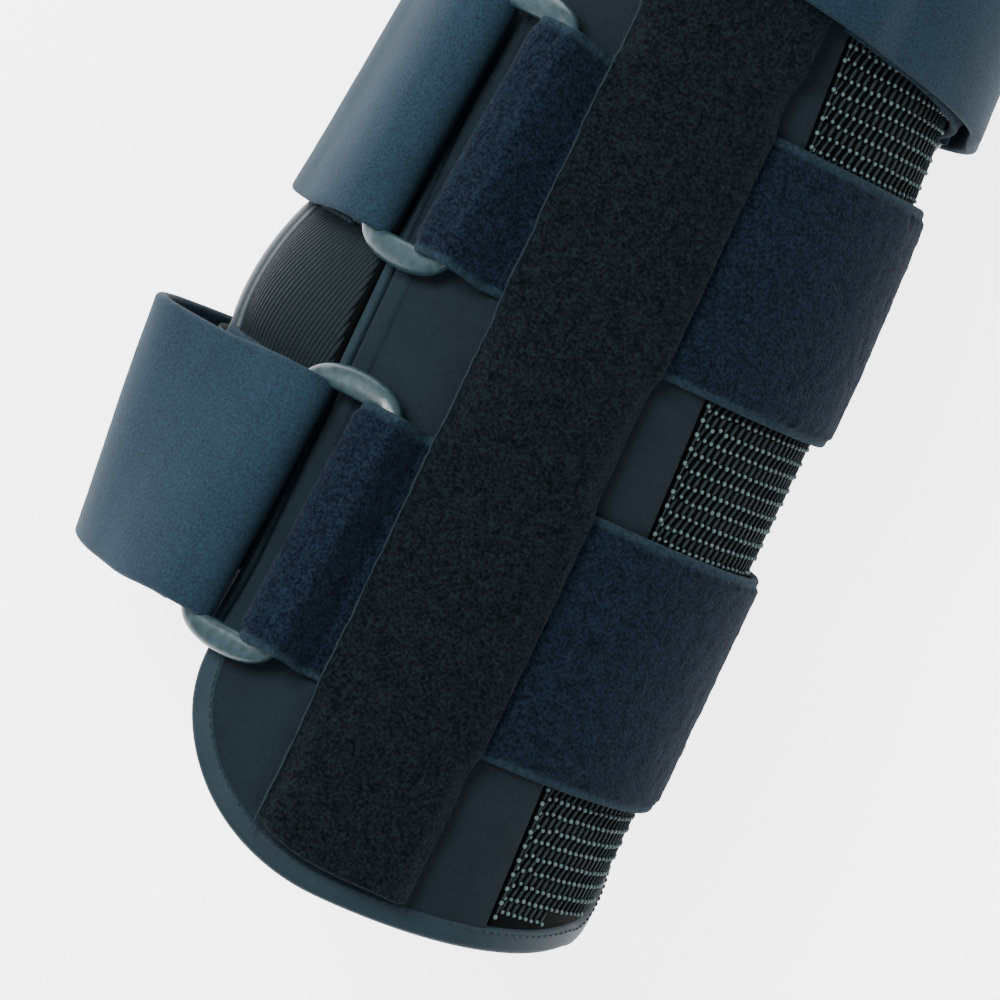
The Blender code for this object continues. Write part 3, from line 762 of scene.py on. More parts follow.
def cloth_finish(name, dark, light, scale=2600, grain=0.5, bump=0.00012, roughness=0.85):
    """Close brushed or woven cloth with a fine fleck."""
    made = Finish(name)
    fleck = made.noise(scale, 2.0, 0.6)
    broad = made.noise(scale / 22, 2.0)
    fine_share = made.math("MULTIPLY", fleck, grain)
    share = made.math("ADD", fine_share, made.math("MULTIPLY", broad, 1 - grain))
    shade = made.blend(made.span(share, 0.30, 0.70), dark, light)
    normal = made.bump(fleck, bump, 0.8)
    sheen = {"Sheen_Weight": 0.03, "Sheen_Roughness": 0.4, "Sheen_Tint": (0.6, 0.8, 1.0, 1.0)}
    return made.done(shade, roughness, normal, **sheen, Specular_IOR_Level=0.10)


def ring_finish():
    """Satin moulded plastic, with a painted highlight colour laid in random lighter patches."""
    made = Finish("ring_moulding_look")
    # Painted highlight colour, laid in random patches.
    highlight_patches = made.span(made.noise(900, 3.0), 0.25, 0.8)
    shade = made.blend(highlight_patches, colours().ring_dark, colours().ring_light)
    normal = made.bump(made.noise(1500, 2.0), 0.00003, 0.5)
    rough = made.span(made.noise(900, 2.0), 0.3, 0.7, 0.30, 0.38)
    coat = {"Coat_Weight": 0.1, "Coat_Roughness": 0.25, "Specular_IOR_Level": 0.4}
    return made.done(shade, rough, normal, **coat)


def metal_finish():
    """Brushed along its length."""
    made = Finish("stay_aluminium_look")
    stretch = made.add("ShaderNodeMapping")
    made.set(stretch, Vector=made.place, Scale=(1, 0.03, 1))
    brushed = made.noise(3000, 2.0, vector=stretch.outputs["Vector"])
    rough = made.span(brushed, 0.3, 0.7, 0.28, 0.45)
    return made.done(tuple(colours().stay), rough, made.bump(brushed, 0.00002, 0.4), Metallic=1.0)


def plain_finish(name, base, roughness=0.7, fleck=0.25, shine=0.08):
    """One colour with lighter flecks."""
    made = Finish(name)
    flecks = made.span(made.noise(1800, 2.0), 0.3, 0.7, 0, fleck)
    shade = made.blend(flecks, tuple(base), scaled(base, 2.2))
    normal = made.bump(made.noise(4200, 1.0), 0.00004, 0.6)
    return made.done(shade, roughness, normal, Specular_IOR_Level=shine)


MADE = {}


def finish(name):
    """A finish by name, made the first time it is asked for."""
    if name in MADE:
        return MADE[name]
    c = colours()
    makers = {
        "pile": lambda: pile_finish("strap_pile_look", c.pile_dark, c.pile_light, c.selvage),
        "strip": lambda: pile_finish("strip_pile_look", c.strip_dark, c.strip_light),
        "strap": lambda: cloth_finish("strap_fabric_look", c.strap_dark, c.strap_light, grain=0.8),
        "laminate": lambda: cloth_finish(
            "panel_laminate_look", c.laminate_dark, c.laminate_light, grain=0.6
        ),
        "binding": lambda: cloth_finish(
            "binding_tape_look", scaled(c.binding, 0.6), c.binding, 3200, 0.6, 0.00006, 0.6
        ),
        "tape": lambda: cloth_finish("seam_tape_look", scaled(c.binding, 0.6), c.binding, 3000),
        # Painted shade: the left edge's binding is the same binding tape, its colours darkened to stand
        # in for the shadow of the straps' folds and rings over it.
        "edge": lambda: cloth_finish(
            "edge_tape_look", scaled(c.binding, 0.35), scaled(c.binding, 0.6), 3000
        ),
        "lining": lambda: cloth_finish("lining_cloth_look", scaled(c.lining, 0.5), c.lining, 1800),
        "rib": lambda: plain_finish("ribbed_elastic_look", c.rib, 0.7),
        # Painted shade in the grooves between the ribs.
        "rib_ground": lambda: plain_finish("elastic_ground_look", c.rib_ground, 0.9),
        "mesh_base": lambda: plain_finish("mesh_ground_look", c.mesh_base, 0.95),
        "mesh_dot": lambda: plain_finish("open_mesh_look", c.mesh_dot, 0.55, 0.5, 0.3),
        "mesh_link": lambda: plain_finish("mesh_link_look", c.mesh_link, 0.6, 0.4),
        "ridge": lambda: plain_finish("strip_edge_look", c.ridge, 0.9),
        "thread": lambda: plain_finish("thread_look", c.thread, 0.6),
        "hook": lambda: plain_finish("hook_tape_look", c.rib, 0.5),
        "piping": lambda: plain_finish("piping_cord_look", scaled(c.binding, 0.8), 0.45, 0.25, 0.4),
        "ring": ring_finish,
        "stay": metal_finish,
    }
    MADE[name] = makers[name]()
    return MADE[name]


def wear(obj, look, body, slot, *nodes):
    """Centres the piece with the CAD, gives it its finish and its body, and hides the CAD nodes that it
    stands for.
    """
    obj.data.transform(Matrix.Translation((sleeve().centring, 0, 0)))
    obj.data.materials.clear()
    obj.data.materials.append(finish(look))
    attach(obj, body)
    if nodes:
        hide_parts(*nodes)
    return obj


# Straps


class Strap:
    """One strap. Its band runs with rising angle to its ring, and its free end folds back."""

    def __init__(self, number, y, slant, ring, root, tip, tab_end):
        self.number, self.y, self.slant, self.ring_angle = number, y, slant, ring
        self.root, self.tip, self.tab_end = root, tip, tab_end
        size, rings = strap_sizes(), ring_sizes()
        height = bar_height()
        low = point(y - slant, ring - 1, height)
        high = point(y + slant, ring + 1, height)
        elbow = point(y - size.width / 2, ring, height)
        hand = point(y + size.width / 2, ring, height)
        self.across = (low - high).normalized()
        along = hand - elbow
        self.along = (along - along.dot(self.across) * self.across).normalized()
        self.out = self.across.cross(self.along).normalized()
        if self.out.dot(hand - point(y, ring, 0)) < 0:
            self.out.negate()
        self.half_turn = rings.pitch / 2 / ((high - low).length / 2)
        skin = sum(
            (point(y + s * self.half_turn * slant, ring + s * self.half_turn, 0) for s in (-1, 1)),
            Vector(),
        )
        self.middle = skin / 2 + self.out * height
        self.strap_bar = self.middle + self.across * rings.pitch / 2
        self.tab_bar = self.middle - self.across * rings.pitch / 2
        self.strap_angle = ring - self.half_turn
        self.tab_angle = ring + self.half_turn

    def name(self, piece):
        return f"strap_{self.number}_{piece}"

    def turns(self, distance):
        """A distance round the sleeve beside the ring, in degrees."""
        return self.half_turn * 2 * distance / ring_sizes().pitch

    def centre(self, angle):
        return self.y + self.slant * (angle - self.ring_angle)

    def wrapped(self, angle, b, offset):
        """Points of the strap laid round the sleeve, b across it from its elbow-side edge."""
        return surface(self.centre(angle) + b - strap_sizes().width / 2, angle, offset)

    def folded(self, bar, towards, turn, b, w, leg):
        """Points of the fold round a bar. turn runs from -90 under the bar to 90 over it."""
        turn = np.radians(turn)[..., None]
        b, w, leg = (np.asarray(v, float)[..., None] for v in (b, w, leg))
        towards, out, along = (np.array(v) for v in (towards, self.out, self.along))
        reach = -towards * np.cos(turn) + out * np.sin(turn)
        half = strap_sizes().width / 2
        return (
            np.array(bar)
            + towards * leg
            + reach * (fold_in() + w * strap_sizes().thick)
            + along * (b - half)
        )


def all_straps():
    size = strap_sizes()
    sewn_x = size.strip_width / 2 - size.root_tuck
    ring_x = size.strip_width / 2 + size.tab_show + ring_sizes().pitch / 2
    found = []
    for number, y in enumerate(size.forearm, 1):
        ring = float(angle_at(y, -ring_x, bar_height())) + 360
        root = float(angle_at(y, sewn_x, strap_in()))
        tab_end = float(angle_at(y, -sewn_x, strap_in())) + 360
        found.append(Strap(number, y, 0.0, ring, root, size.forearm_tip, tab_end))
    root = float(angle_at(size.wrist, size.strip_width / 2 + ROOT_REACH, strap_in()))
    turns = (size.wrist_ring, root, size.wrist_tip, size.wrist_tab)
    return [*found, Strap(3, size.wrist, size.wrist_slant, *turns)]


def path_of(parts):
    """Joins stretches of a strap's way, each (length, place), into one place(a, b, w)."""
    ends = np.cumsum([0.0] + [length for length, _ in parts])

    def place(a, b, w):
        points = np.zeros(a.shape + (3,))
        for (length, way), start, end in zip(parts, ends, ends[1:]):
            chosen = (a >= start) & (a <= end + 1e-9)
            if chosen.any():
                share = np.clip((a[chosen] - start) / length, 0, 1)
                points[chosen] = way(share, b[chosen], w[chosen])
        return points

    return place, ends[-1]


def wrap_way(strap, start, end, inner):
    """A stretch laid round the sleeve from one angle to another. inner(angle) is how far out
    its inner face lies."""
    spread = np.linspace(start, end, 200)
    points = strap.wrapped(spread, strap_sizes().width / 2, inner(spread))
    run = np.linalg.norm(np.diff(points, axis=0), axis=1)
    reached = np.concatenate(([0.0], np.cumsum(run)))
    thick = strap_sizes().thick

    def way(share, b, w):
        angle = np.interp(share * reached[-1], reached, spread)
        return strap.wrapped(angle, b, inner(angle) + w * thick)

    return float(reached[-1]), way


def fold_ways(strap, bar, towards, under_leg, over_leg):
    """The leg under a bar, the half turn round it and the leg over it."""
    thick, inner = strap_sizes().thick, fold_in()
    half_turn = math.pi * (inner + thick / 2)

    def under(share, b, w):
        return strap.folded(bar, towards, np.full(b.shape, -90.0), b, w, under_leg * (1 - share))

    def loop(share, b, w):
        return strap.folded(bar, towards, 180 * share - 90, b, w, np.zeros(b.shape))

    def over(share, b, w):
        return strap.folded(bar, towards, np.full(b.shape, 90.0), b, w, over_leg * share)

    return [(under_leg, under), (half_turn, loop), (over_leg, over)]


def end_height(strap, angle):
    """How far out the free end's inner face lies. It climbs over the pile strip."""
    size, rings = strap_sizes(), ring_sizes()
    top = bar_height() + fold_in()
    leaves = strap.strap_angle - strap.turns(rings.top_leg)
    down = ease(leaves - SETTLE, leaves, angle)
    edge = float(angle_at(strap.y, size.strip_width / 2, strip_out()))
    if strap.tip > edge:
        rested = end_in()
    else:
        over_strip = 1 - ease(edge + CLIMB_FROM, edge + CLIMB_TO, angle)
        rested = mix(end_in(), strip_out() + 2 * sleeve().gap + size.hook, over_strip)
    return mix(rested, top, down)


def pile_fuzz(seed, width):
    """Loops of pile over the strap's face, with bare edges that are a little lower."""
    bare = strap_sizes().selvage

    def fuzz(a, b):
        near = np.minimum(b, width - b)
        ragged = near + 0.0004 * value_noise(a, b, 0.0011, seed + 3)
        full = ease(bare, bare + 0.0008, ragged)
        fine = 0.00010 * value_noise(a, b, 0.0008, seed)
        return mix(-BARE_DROP, fine + 0.00008 * value_noise(a, b, 0.0021, seed + 1), full)

    return fuzz


def step_size(fine):
    """The mesh's step, as given."""
    return fine * 1.0


def eased(place, seam, reach=END_EASE):
    """The same path, eased over the step where its fold meets the part laid on the sleeve."""

    def moved(a, b, w):
        hair = 1e-5
        before, after = (place(np.full(np.shape(a), seam + k * hair), b, w) for k in (-1, 1))
        share = np.where(a > seam, 1 - ease(seam, seam + reach, a), 0.0)
        return place(a, b, w) + (before - after) * share[..., None]

    return moved


def pile_slab(name, place, run, seed):
    """A stretch of strap with its pile outside and bare edges."""
    width = strap_sizes().width
    along, across = (marks(0, side, step_size(PILE_STEP)) for side in (run, width))
    bare = {"bare": 1.0}
    return slab(name, place, along, across, pile_fuzz(seed, width), ROUND, lambda a, b: bare)


def make_band(strap):
    """The stretch of strap from its sewn root round the sleeve to its ring."""
    end = strap.strap_angle - strap.turns(ring_sizes().fold_leg + ring_sizes().leg_gap)
    flat = wrap_way(strap, strap.root, end, lambda angle: np.full(np.shape(angle), strap_in()))
    place, total = path_of([flat])
    obj = pile_slab(strap.name("band_pile"), place, total, 10 * strap.number)
    return wear(obj, "pile", "sleeve", "strap_pile", strap.name("band"))


def make_tab(strap):
    """The short strap that loops round the ring's bar and is sewn down beyond it."""
    rings = ring_sizes()
    loop = np.array(strap.tab_bar) + np.array(strap.across) * rings.slack
    under, over = rings.tab_leg + rings.slack, rings.top_leg + rings.slack
    parts = fold_ways(strap, Vector(loop), -strap.across, under, over)
    top = bar_height() + fold_in()
    clear = strap.tab_angle + strap.turns(rings.top_leg)
    sewn = max(clear + SEWN_NEAREST, min(clear + SEWN_USUAL, strap.tab_end - SEWN_CLEAR))

    def height(angle):
        return mix(top, strap_in(), ease(clear, sewn, angle))

    parts.append(wrap_way(strap, clear, strap.tab_end, height))
    place, total = path_of(parts)
    place = eased(place, sum(part[0] for part in parts[:3]), TAB_EASE)
    obj = pile_slab(strap.name("tab_pile"), place, total, 10 * strap.number + 5)
    return wear(obj, "pile", "sleeve", "strap_pile", strap.name("tab"))


def make_free_end(strap):
    """The smooth-faced end, looped round the other bar and laid back over the band."""
    rings = ring_sizes()
    parts = fold_ways(strap, strap.strap_bar, strap.across, rings.fold_leg, rings.top_leg)
    leaves = strap.strap_angle - strap.turns(rings.top_leg)
    parts.append(wrap_way(strap, leaves, strap.tip, lambda angle: end_height(strap, angle)))
    place, total = path_of(parts)
    place = eased(place, sum(part[0] for part in parts[:3]))
    size = strap_sizes()
    width = size.width

    def cut(a, b, w):
        """Cuts the tip's two corners a little, and lets the loose edge stand off the arm."""
        near = np.maximum(0, TIP_CORNER - np.minimum(b, width - b))
        back = np.clip((a - (total - 3 * TIP_CORNER)) / (3 * TIP_CORNER), 0, 1)
        points = place(a - near * back**2 * TIP_CUT, b, w)
        share = np.sin(math.pi * np.clip((a / total - 0.20) / 0.78, 0, 1)) ** 2
        loose = size.flare[strap.number - 1] * share * b / width
        middle = np.array(surface(strap.y, 0, 0))
        middle[2] = sleeve().half_height
        away = points - middle
        away[..., 1] = 0
        away /= np.linalg.norm(away, axis=-1, keepdims=True)
        return points + away * loose[..., None]

    along = marks(0, total, step_size(0.0011), ROUND)
    across = marks(0, width, step_size(0.0014), ROUND)

    def wavy(a, b):
        broad = 0.00004 * value_noise(a, b, 0.006, strap.number)
        return broad + 0.00003 * value_noise(a, b, 0.0016, 4)

    obj = slab(strap.name("end_fabric"), cut, along, across, wavy, ROUND)
    return wear(obj, "strap", strap.name("end"), "strap_fabric", strap.name("free_end"))


def make_hooks(strap):
    """The hook tape inside the tip, a thin tape with rows of small hooks."""
    size, gap = strap_sizes(), sleeve().gap
    inner = size.hook
    tip_turn = float(arc_degrees(strap.y, strap.tip, 1.0, end_in()))
    start = strap.tip + tip_turn * 0.001
    end = strap.tip + tip_turn * size.hook_length

    def place(a, b, w):
        offset = end_height(strap, a) - gap - inner + w * inner * TAPE_SHARE + inner * 0.55
        return strap.wrapped(a, b, offset)

    along = np.linspace(start, end, 60)
    across = np.linspace(0.001, size.width - 0.001, 24)
    tape = slab(strap.name("hook_tape"), place, along, across, edge=HOOK_ROUND)
    wear(tape, "hook", strap.name("end"), "hook_tape", strap.name("hook_patch"))
    margin = tip_turn * HOOK_MARGIN
    rows = np.arange(start + margin, end - margin, tip_turn * HOOK_ROW)
    places = np.arange(0.0025, size.width - 0.002, HOOK_PITCH)
    angle, b = (v.ravel() for v in np.meshgrid(rows, places, indexing="ij"))
    offset = end_height(strap, angle) - gap - inner * 0.75
    y = strap.centre(angle) + b - size.width / 2
    centre, along_axis, across_axis, out = axes_on(y, angle, offset)
    loop = {"major_segments": 6, "minor_segments": 4, "major_radius": 1, "minor_radius": 0.3}
    axes = (across_axis * HOOK_WIDE, out * HOOK_TALL, along_axis * HOOK_WIDE)
    hooks = repeat(strap.name("hooks"), shape_of("primitive_torus_add", **loop), centre, *axes)
    return wear(hooks, "hook", strap.name("end"), "hook_tape")


def squared(value, power):
    """A cosine or a sine of which the curve is nearer a square, at a power under 1."""
    return np.sign(value) * np.abs(value) ** power


def ring_edges(count):
    """The ring's inner and outer borders, as matching points on each, in its own plane."""
    rings = ring_sizes()
    half_in = rings.pitch / 2 - rings.bar / 2
    half_out = rings.pitch / 2 + rings.bar / 2
    window = strap_sizes().width / 2 - rings.window
    top = window + rings.window + rings.end - 0.0002
    start, bend = window - RING_SHOULDER, RING_BEND
    inner, outer = [], []
    for side in (1, -1):
        y = np.linspace(-start, start, count) * side
        inner.append(np.stack((np.full(count, side * half_in), y), -1))
        outer.append(np.stack((np.full(count, side * half_out), y), -1))
        turn = np.linspace(0, math.pi, 2 * count + 1)[1:-1]
        cosine, sine = np.cos(turn), np.sin(turn)
        power = squared(cosine, 0.9)
        reach = start + (top - start) * sine**0.75
        outer.append(np.stack((side * half_out * power, side * reach), -1))
        flat = np.clip(half_out * power, -half_in, half_in)
        corner = np.clip((np.abs(flat) - (half_in - bend)) / bend, 0, 1)
        rise = window - bend * (1 - np.sqrt(1 - corner**2))
        beside = start + (window - bend - start) * np.clip(sine / 0.5, 0, 1)
        rise = np.where(corner >= 1, beside, rise)
        inner.append(np.stack((side * flat, side * rise), -1))
    return np.concatenate(inner), np.concatenate(outer)


def make_ring(strap):
    """A moulded loop. Its bars are straight, and its ends are crescents beside the strap."""
    rings = ring_sizes()
    inner, outer = ring_edges(18)
    centre, half = (inner + outer) / 2, (outer - inner) / 2
    beside = strap_sizes().width / 2
    end = ease(beside - 0.002, beside + 0.003, np.abs(centre[:, 1]))
    tall = rings.thick / 2 * (1 + RING_SWELL * end)
    beta = np.linspace(0, 2 * math.pi, 29)
    cosine, sine = squared(np.cos(beta), 0.85), squared(np.sin(beta), 0.85)
    flat = centre[:, None] + half[:, None] * cosine[None, :, None]
    tilt = RING_TILT * end
    height = tall[:, None] * sine - tilt[:, None] * cosine
    local = np.stack((flat[..., 0], flat[..., 1], height), -1)
    points = local @ np.array((strap.across, strap.along, strap.out)) + np.array(strap.middle)
    points = np.concatenate((points, points[:1]))
    obj = add_grid(strap.name("ring_moulding"), points, {})
    weld(obj, 70)
    only(obj)
    smooth = obj.modifiers.new("rounding", "SUBSURF")
    smooth.levels = smooth.render_levels = 1
    bpy.ops.object.modifier_apply(modifier="rounding")
    return wear(obj, "ring", strap.name("ring"), "ring_moulding", strap.name("ring"))


# Sleeve panels


def panel(name, left, right, start, end, inner, outer, step, bump=None, edge=PANEL_ROUND):
    """A panel. left(y) and right(y) give angles, and start(share) and end(share) give places
    along the arm at a share of the way across. bump(y, angle) lifts both faces."""
    middle = sleeve().length / 2
    low, high = float(np.asarray(left(middle))), float(np.asarray(right(middle)))
    width = (high - low) / float(arc_degrees(middle, (low + high) / 2, 1.0, outer))
    run = float(np.asarray(end(0.5)) - np.asarray(start(0.5)))
    along = marks(0, run, step_size(step), edge)
    across = marks(0, width, step_size(step), edge)

    def place(a, b, w):
        share = b / width
        y = mix(start(share), end(share), a / run)
        angle = mix(left(y), right(y), share)
        lifted = bump(y, angle) if bump else 0.0
        return surface(y, angle, mix(inner, outer, w) + lifted)

    return slab(name, place, along, across, edge=edge)


def upper_start(share):
    """Where the upper panel starts: a quarter ellipse on the left, then the right outline."""
    size = sleeve()
    left = float(bound_angle(0.0, -0.4 * size.binding))
    angle = mix(left, mesh_edge(0.0), share)
    inset = size.binding * 0.6
    curve = size.corner - (size.corner - inset) * np.sqrt(np.clip(1 - (angle / left) ** 2, 0, 1))
    return np.where(angle >= 0, right_outline(angle) + inset, curve)


def steady(value):
    """A border that stays at one angle, or an end that stays at one place."""
    return lambda at: np.full(np.shape(at), value)


def hand_edge(share):
    size = sleeve()
    return np.full(np.shape(share), size.length - size.binding * 0.6)


def upper_sheet(name, inner, outer, step):
    return panel(
        name,
        lambda y: bound_angle(y, -0.4 * sleeve().binding),
        lambda y: mesh_edge(y) - 0.1,
        upper_start,
        hand_edge,
        inner,
        outer,
        step,
    )


def lower_sheet(name, inner, outer, step):
    size = sleeve()

    def start(share):
        angle = mix(size.side_angle, lower_end(), share)
        return right_outline(angle) + size.binding * 0.6

    return panel(
        name,
        steady(size.side_angle - size.overlap),
        steady(lower_end()),
        start,
        hand_edge,
        inner,
        outer,
        step,
    )


def between_straps(y):
    """1 midway between neighbouring straps and 0 under them."""
    half = strap_sizes().width / 2
    lanes = sorted([*strap_sizes().forearm, strap_sizes().wrist - 0.0015])
    gaps = [(0.0, lanes[0] - half)]
    gaps += [(a + half, b - half) for a, b in zip(lanes, lanes[1:])]
    lift = np.zeros(np.shape(y))
    for low, high in gaps:
        share = np.clip((y - low) / (high - low), 0, 1)
        lift = np.maximum(lift, np.sin(math.pi * share) ** 0.7 * ((y > low) & (y < high)))
    return lift


def gusset_left(y):
    return np.full(np.shape(y), sleeve().piping_angle - 360 + sleeve().piping_clear)


def gusset_right(y):
    edge = left_edge(y)
    return edge - arc_degrees(y, edge, sleeve().tape + 2 * sleeve().seam, panel_out())


def gusset_bulge(y, angle):
    """The elastic swells between the straps, most at the side of the arm."""
    across = np.sin(math.pi * np.clip((angle + 106) / 66, 0, 1)) ** 0.8
    ends = ease(sleeve().gusset_start, sleeve().gusset_start + GUSSET_ENDS, y)
    ends = ends * (1 - ease(gusset_end() - GUSSET_ENDS, gusset_end(), y))
    return sleeve().bulge * between_straps(y) * across * ends


def make_gusset():
    size = sleeve()
    base = panel(
        "gusset_ground",
        gusset_left,
        gusset_right,
        steady(size.gusset_start),
        steady(gusset_end() - size.seam),
        panel_in(),
        panel_out() - GUSSET_SINK,
        GUSSET_STEP,
        gusset_bulge,
    )
    # The gusset's ground wears the painted groove shade between the ribs.
    wear(base, "rib_ground", "sleeve", "ribbed_elastic", "elastic_gusset")
    wear(make_ribs(), "rib", "sleeve", "ribbed_elastic")
    return base


def rib_heading(share):
    """The ribs' angle to the arm, which opens out towards the seam tape."""
    return np.radians(mix(*RIB_TURNS, share))


def make_ribs():
    """Half-round cords of the elastic, each running on a slant across the gusset."""
    size = sleeve()
    step = step_size(RIB_STEP)
    low, high = size.gusset_start + 0.0006, gusset_end() - 0.001
    beta = np.radians(np.linspace(0, 180, 6))
    all_points, all_faces, count = [], [], 0
    for first_y in np.arange(low - 0.130, high, RIB_SPACING):
        y, share, line = first_y, 0.012, []
        while share < 0.99 and y < high:
            left, right = float(gusset_left(y)), float(gusset_right(y))
            if y > low:
                line.append((y, mix(left, right, share), share))
            heading = float(rib_heading(share))
            width = (right - left) / float(arc_degrees(y, (left + right) / 2, 1.0, panel_out()))
            y += step * math.cos(heading)
            share += step * math.sin(heading) / width
        if len(line) < 4:
            continue
        y, angle, share = np.array(line).T
        offset = panel_out() - RIB_SINK + gusset_bulge(y, angle)
        centre, _, _, out = axes_on(y, angle, offset)
        along = np.gradient(centre, axis=0)
        along /= np.linalg.norm(along, axis=1, keepdims=True)
        side = np.cross(out, along)
        from_end = np.minimum(np.arange(len(y)), np.arange(len(y))[::-1])
        tapered = np.minimum(1, from_end / 2 + 0.25)
        radius = 0.44 * RIB_SPACING * np.sin(rib_heading(share)) * tapered
        ring = (
            centre[:, None]
            + side[:, None] * (np.cos(beta)[None] * radius[:, None])[..., None]
            + out[:, None] * (np.sin(beta)[None] * radius[:, None] * 1.1)[..., None]
        )
        rows = len(y)
        index = np.arange(rows * 6).reshape(rows, 6) + count
        for k in range(6):
            near, far = index[:-1], index[1:]
            beside = (k + 1) % 6
            quad = (near[:, k], far[:, k], far[:, beside], near[:, beside])
            all_faces.append(np.stack(quad, -1))
        all_faces.append(index[:1, [0, 1, 4, 5]])
        all_faces.append(index[:1, [1, 2, 3, 4]])
        all_faces.append(index[-1:, [5, 4, 1, 0]])
        all_faces.append(index[-1:, [4, 3, 2, 1]])
        all_points.append(ring.reshape(-1, 3))
        count += rows * 6
    mesh = bpy.data.meshes.new("gusset_ribs")
    mesh.from_pydata(np.concatenate(all_points).tolist(), [], np.concatenate(all_faces).tolist())
    obj = bpy.data.objects.new("gusset_ribs", mesh)
    bpy.context.collection.objects.link(obj)
    weld(obj, 80)
    return obj


def make_tape():
    """The narrow tape over the gusset's seam beside the left edge."""
    size = sleeve()

    def side(distance):
        return lambda y: left_edge(y) - arc_degrees(y, left_edge(y), distance, panel_out())

    obj = panel(
        "gusset_tape",
        side(size.tape + size.seam),
        side(size.seam * 0.2),
        steady(size.tape_start),
        steady(gusset_end() - size.seam),
        panel_in(),
        panel_out() + TAPE_RAISED,
        BINDING_STEP,
        edge=SEAM_ROUND,
    )
    return wear(obj, "tape", "sleeve", "seam_tape", "gusset_seam_tape")


def tube(name, centre, side, out, radius, count=10):
    """A closed cord along these centres, with the two unit directions across it."""
    beta = np.linspace(0, 2 * math.pi, count + 1)
    radius = np.broadcast_to(radius, len(centre)).copy()
    taper = np.concatenate(([0.0, 0.7], np.ones(len(centre) - 4), [0.7, 0.0]))
    ring = np.cos(beta)[None, :, None] * side[:, None] + np.sin(beta)[None, :, None] * out[:, None]
    points = centre[:, None] + ring * (radius * taper)[:, None, None]
    obj = add_grid(name, points, {})
    weld(obj, 70)
    return obj


def make_piping():
    """The gusset's rolled hem: a soft cord that swells with the gusset."""
    size = sleeve()
    y = np.arange(size.gusset_start, gusset_end() - size.seam, 0.0015)
    angle = size.piping_angle - 360 + PIPING_TURN
    lift = gusset_bulge(y, angle)
    centre, _, across, out = axes_on(y, angle, panel_out() + PIPING_RAISED + lift)
    obj = tube("gusset_piping_cord", centre, across * 1.3, out, PIPING_RADIUS, 14)
    return wear(obj, "piping", "sleeve", "piping_cord", "gusset_piping")


def make_web():
    """The laminate between the thumb opening and the hand end."""
    size = sleeve()
    obj = panel(
        "thumb_web_cloth",
        steady(web_angle()),
        lambda y: bound_angle(y, 0.0),
        steady(web_start() + size.seam),
        hand_edge,
        panel_in(),
        panel_out(),
        PANEL_STEP,
    )
    return wear(obj, "laminate", "sleeve", "panel_laminate", "thumb_web")


def bound_strip(name, outer, inner, count, raised=TAPE_RAISED):
    """Binding tape folded over an edge. outer(t) and inner(t) give (place, angle) on its two
    borders, at t from 0 to 1 along it."""
    t = np.linspace(0, 1, count)
    width = sleeve().binding
    across = marks(0, width, step_size(BINDING_STEP), ROUND)
    along_run = t * width * BINDING_RUN

    def place(a, b, w):
        at = a / (width * BINDING_RUN)
        y0, angle0 = outer(at)
        y1, angle1 = inner(at)
        share = b / width
        low = sleeve().lining / 2 - 0.0002
        high = panel_out() + raised
        return surface(mix(y0, y1, share), mix(angle0, angle1, share), mix(low, high, w))

    return slab(name, place, along_run, across, edge=ROUND)


def elbow_paths():
    """The outer and inner borders of the elbow end's binding, from the left edge round the
    corner and over to the side panel's far edge."""
    size = sleeve()
    stop = size.side_angle
    left_part = CORNER_SHARE

    def border(inset):
        def at(t):
            turn = np.radians(90 * (1 - np.clip(t / left_part, 0, 1)))
            sine, cosine = np.sin(turn), np.cos(turn)
            y_left = size.corner - (size.corner - inset) * cosine
            edge = left_edge(y_left) if inset == 0 else bound_angle(y_left, 0.0)
            angle_right = stop * np.clip((t - left_part) / (1 - left_part), 0, 1)
            on_left = t < left_part
            y = np.where(on_left, y_left, right_outline(angle_right) + inset)
            return y, np.where(on_left, edge * sine, angle_right)

        return at

    return border(0.0), border(size.binding)


def make_bindings():
    """The tapes over the elbow end, the left edge and the hand end."""
    size = sleeve()
    outer, inner = elbow_paths()
    upper = bound_strip("elbow_binding_upper", outer, inner, 160)
    wear(upper, "binding", "sleeve", "binding_tape", "elbow_end_binding_upper")

    def end_border(start, stop, far, inset):
        def at(t):
            angle = mix(start, stop, t)
            edge = size.length - size.binding if far else right_outline(angle)
            return edge + inset + 0 * angle, angle

        return at

    lower_span = (size.side_angle - size.overlap, lower_end())
    upper_span = (web_angle(), size.side_angle)
    spans = (
        ("elbow_binding_lower", *lower_span, False, "elbow_end_binding_lower"),
        ("hand_binding_upper", *upper_span, True, "hand_end_binding_upper"),
        ("hand_binding_lower", *lower_span, True, "hand_end_binding_lower"),
    )
    for name, start, stop, far, node in spans:
        borders = [end_border(start, stop, far, inset) for inset in (0.0, size.binding)]
        if far:
            borders = borders[::-1]
        obj = bound_strip(name, *borders, 90, HAND_RAISED if far else TAPE_RAISED)
        wear(obj, "binding", "sleeve", "binding_tape", node)

    def left_border(clearance):
        def at(t):
            y = mix(size.corner + size.seam * 0.2, gusset_end() - size.seam, t)
            return y, (left_edge(y) if clearance is None else bound_angle(y, clearance))

        return at

    left = bound_strip("left_binding", left_border(None), left_border(0.0), 90)
    # The left binding wears the darkened binding colours, painted shade for the shadow over the left
    # edge.
    wear(left, "edge", "sleeve", "binding_tape", "left_edge_binding")


def thumb_rim(inset, turn):
    """Place and angle on the thumb opening's rounded-rectangle rim, in from its outside."""
    size = sleeve()
    middle_y = (gusset_end() + web_start()) / 2
    right = float(bound_angle(middle_y, 0.0))
    middle, reach = (web_angle() + right) / 2, (right - web_angle()) / 2
    roundness = 2 / 5
    cosine, sine = squared(np.cos(turn), roundness), squared(np.sin(turn), roundness)
    y = middle_y + (size.thumb_hole / 2 - inset) * sine
    angle = middle + (reach - arc_degrees(middle_y, middle, inset, panel_out())) * cosine
    return y, angle


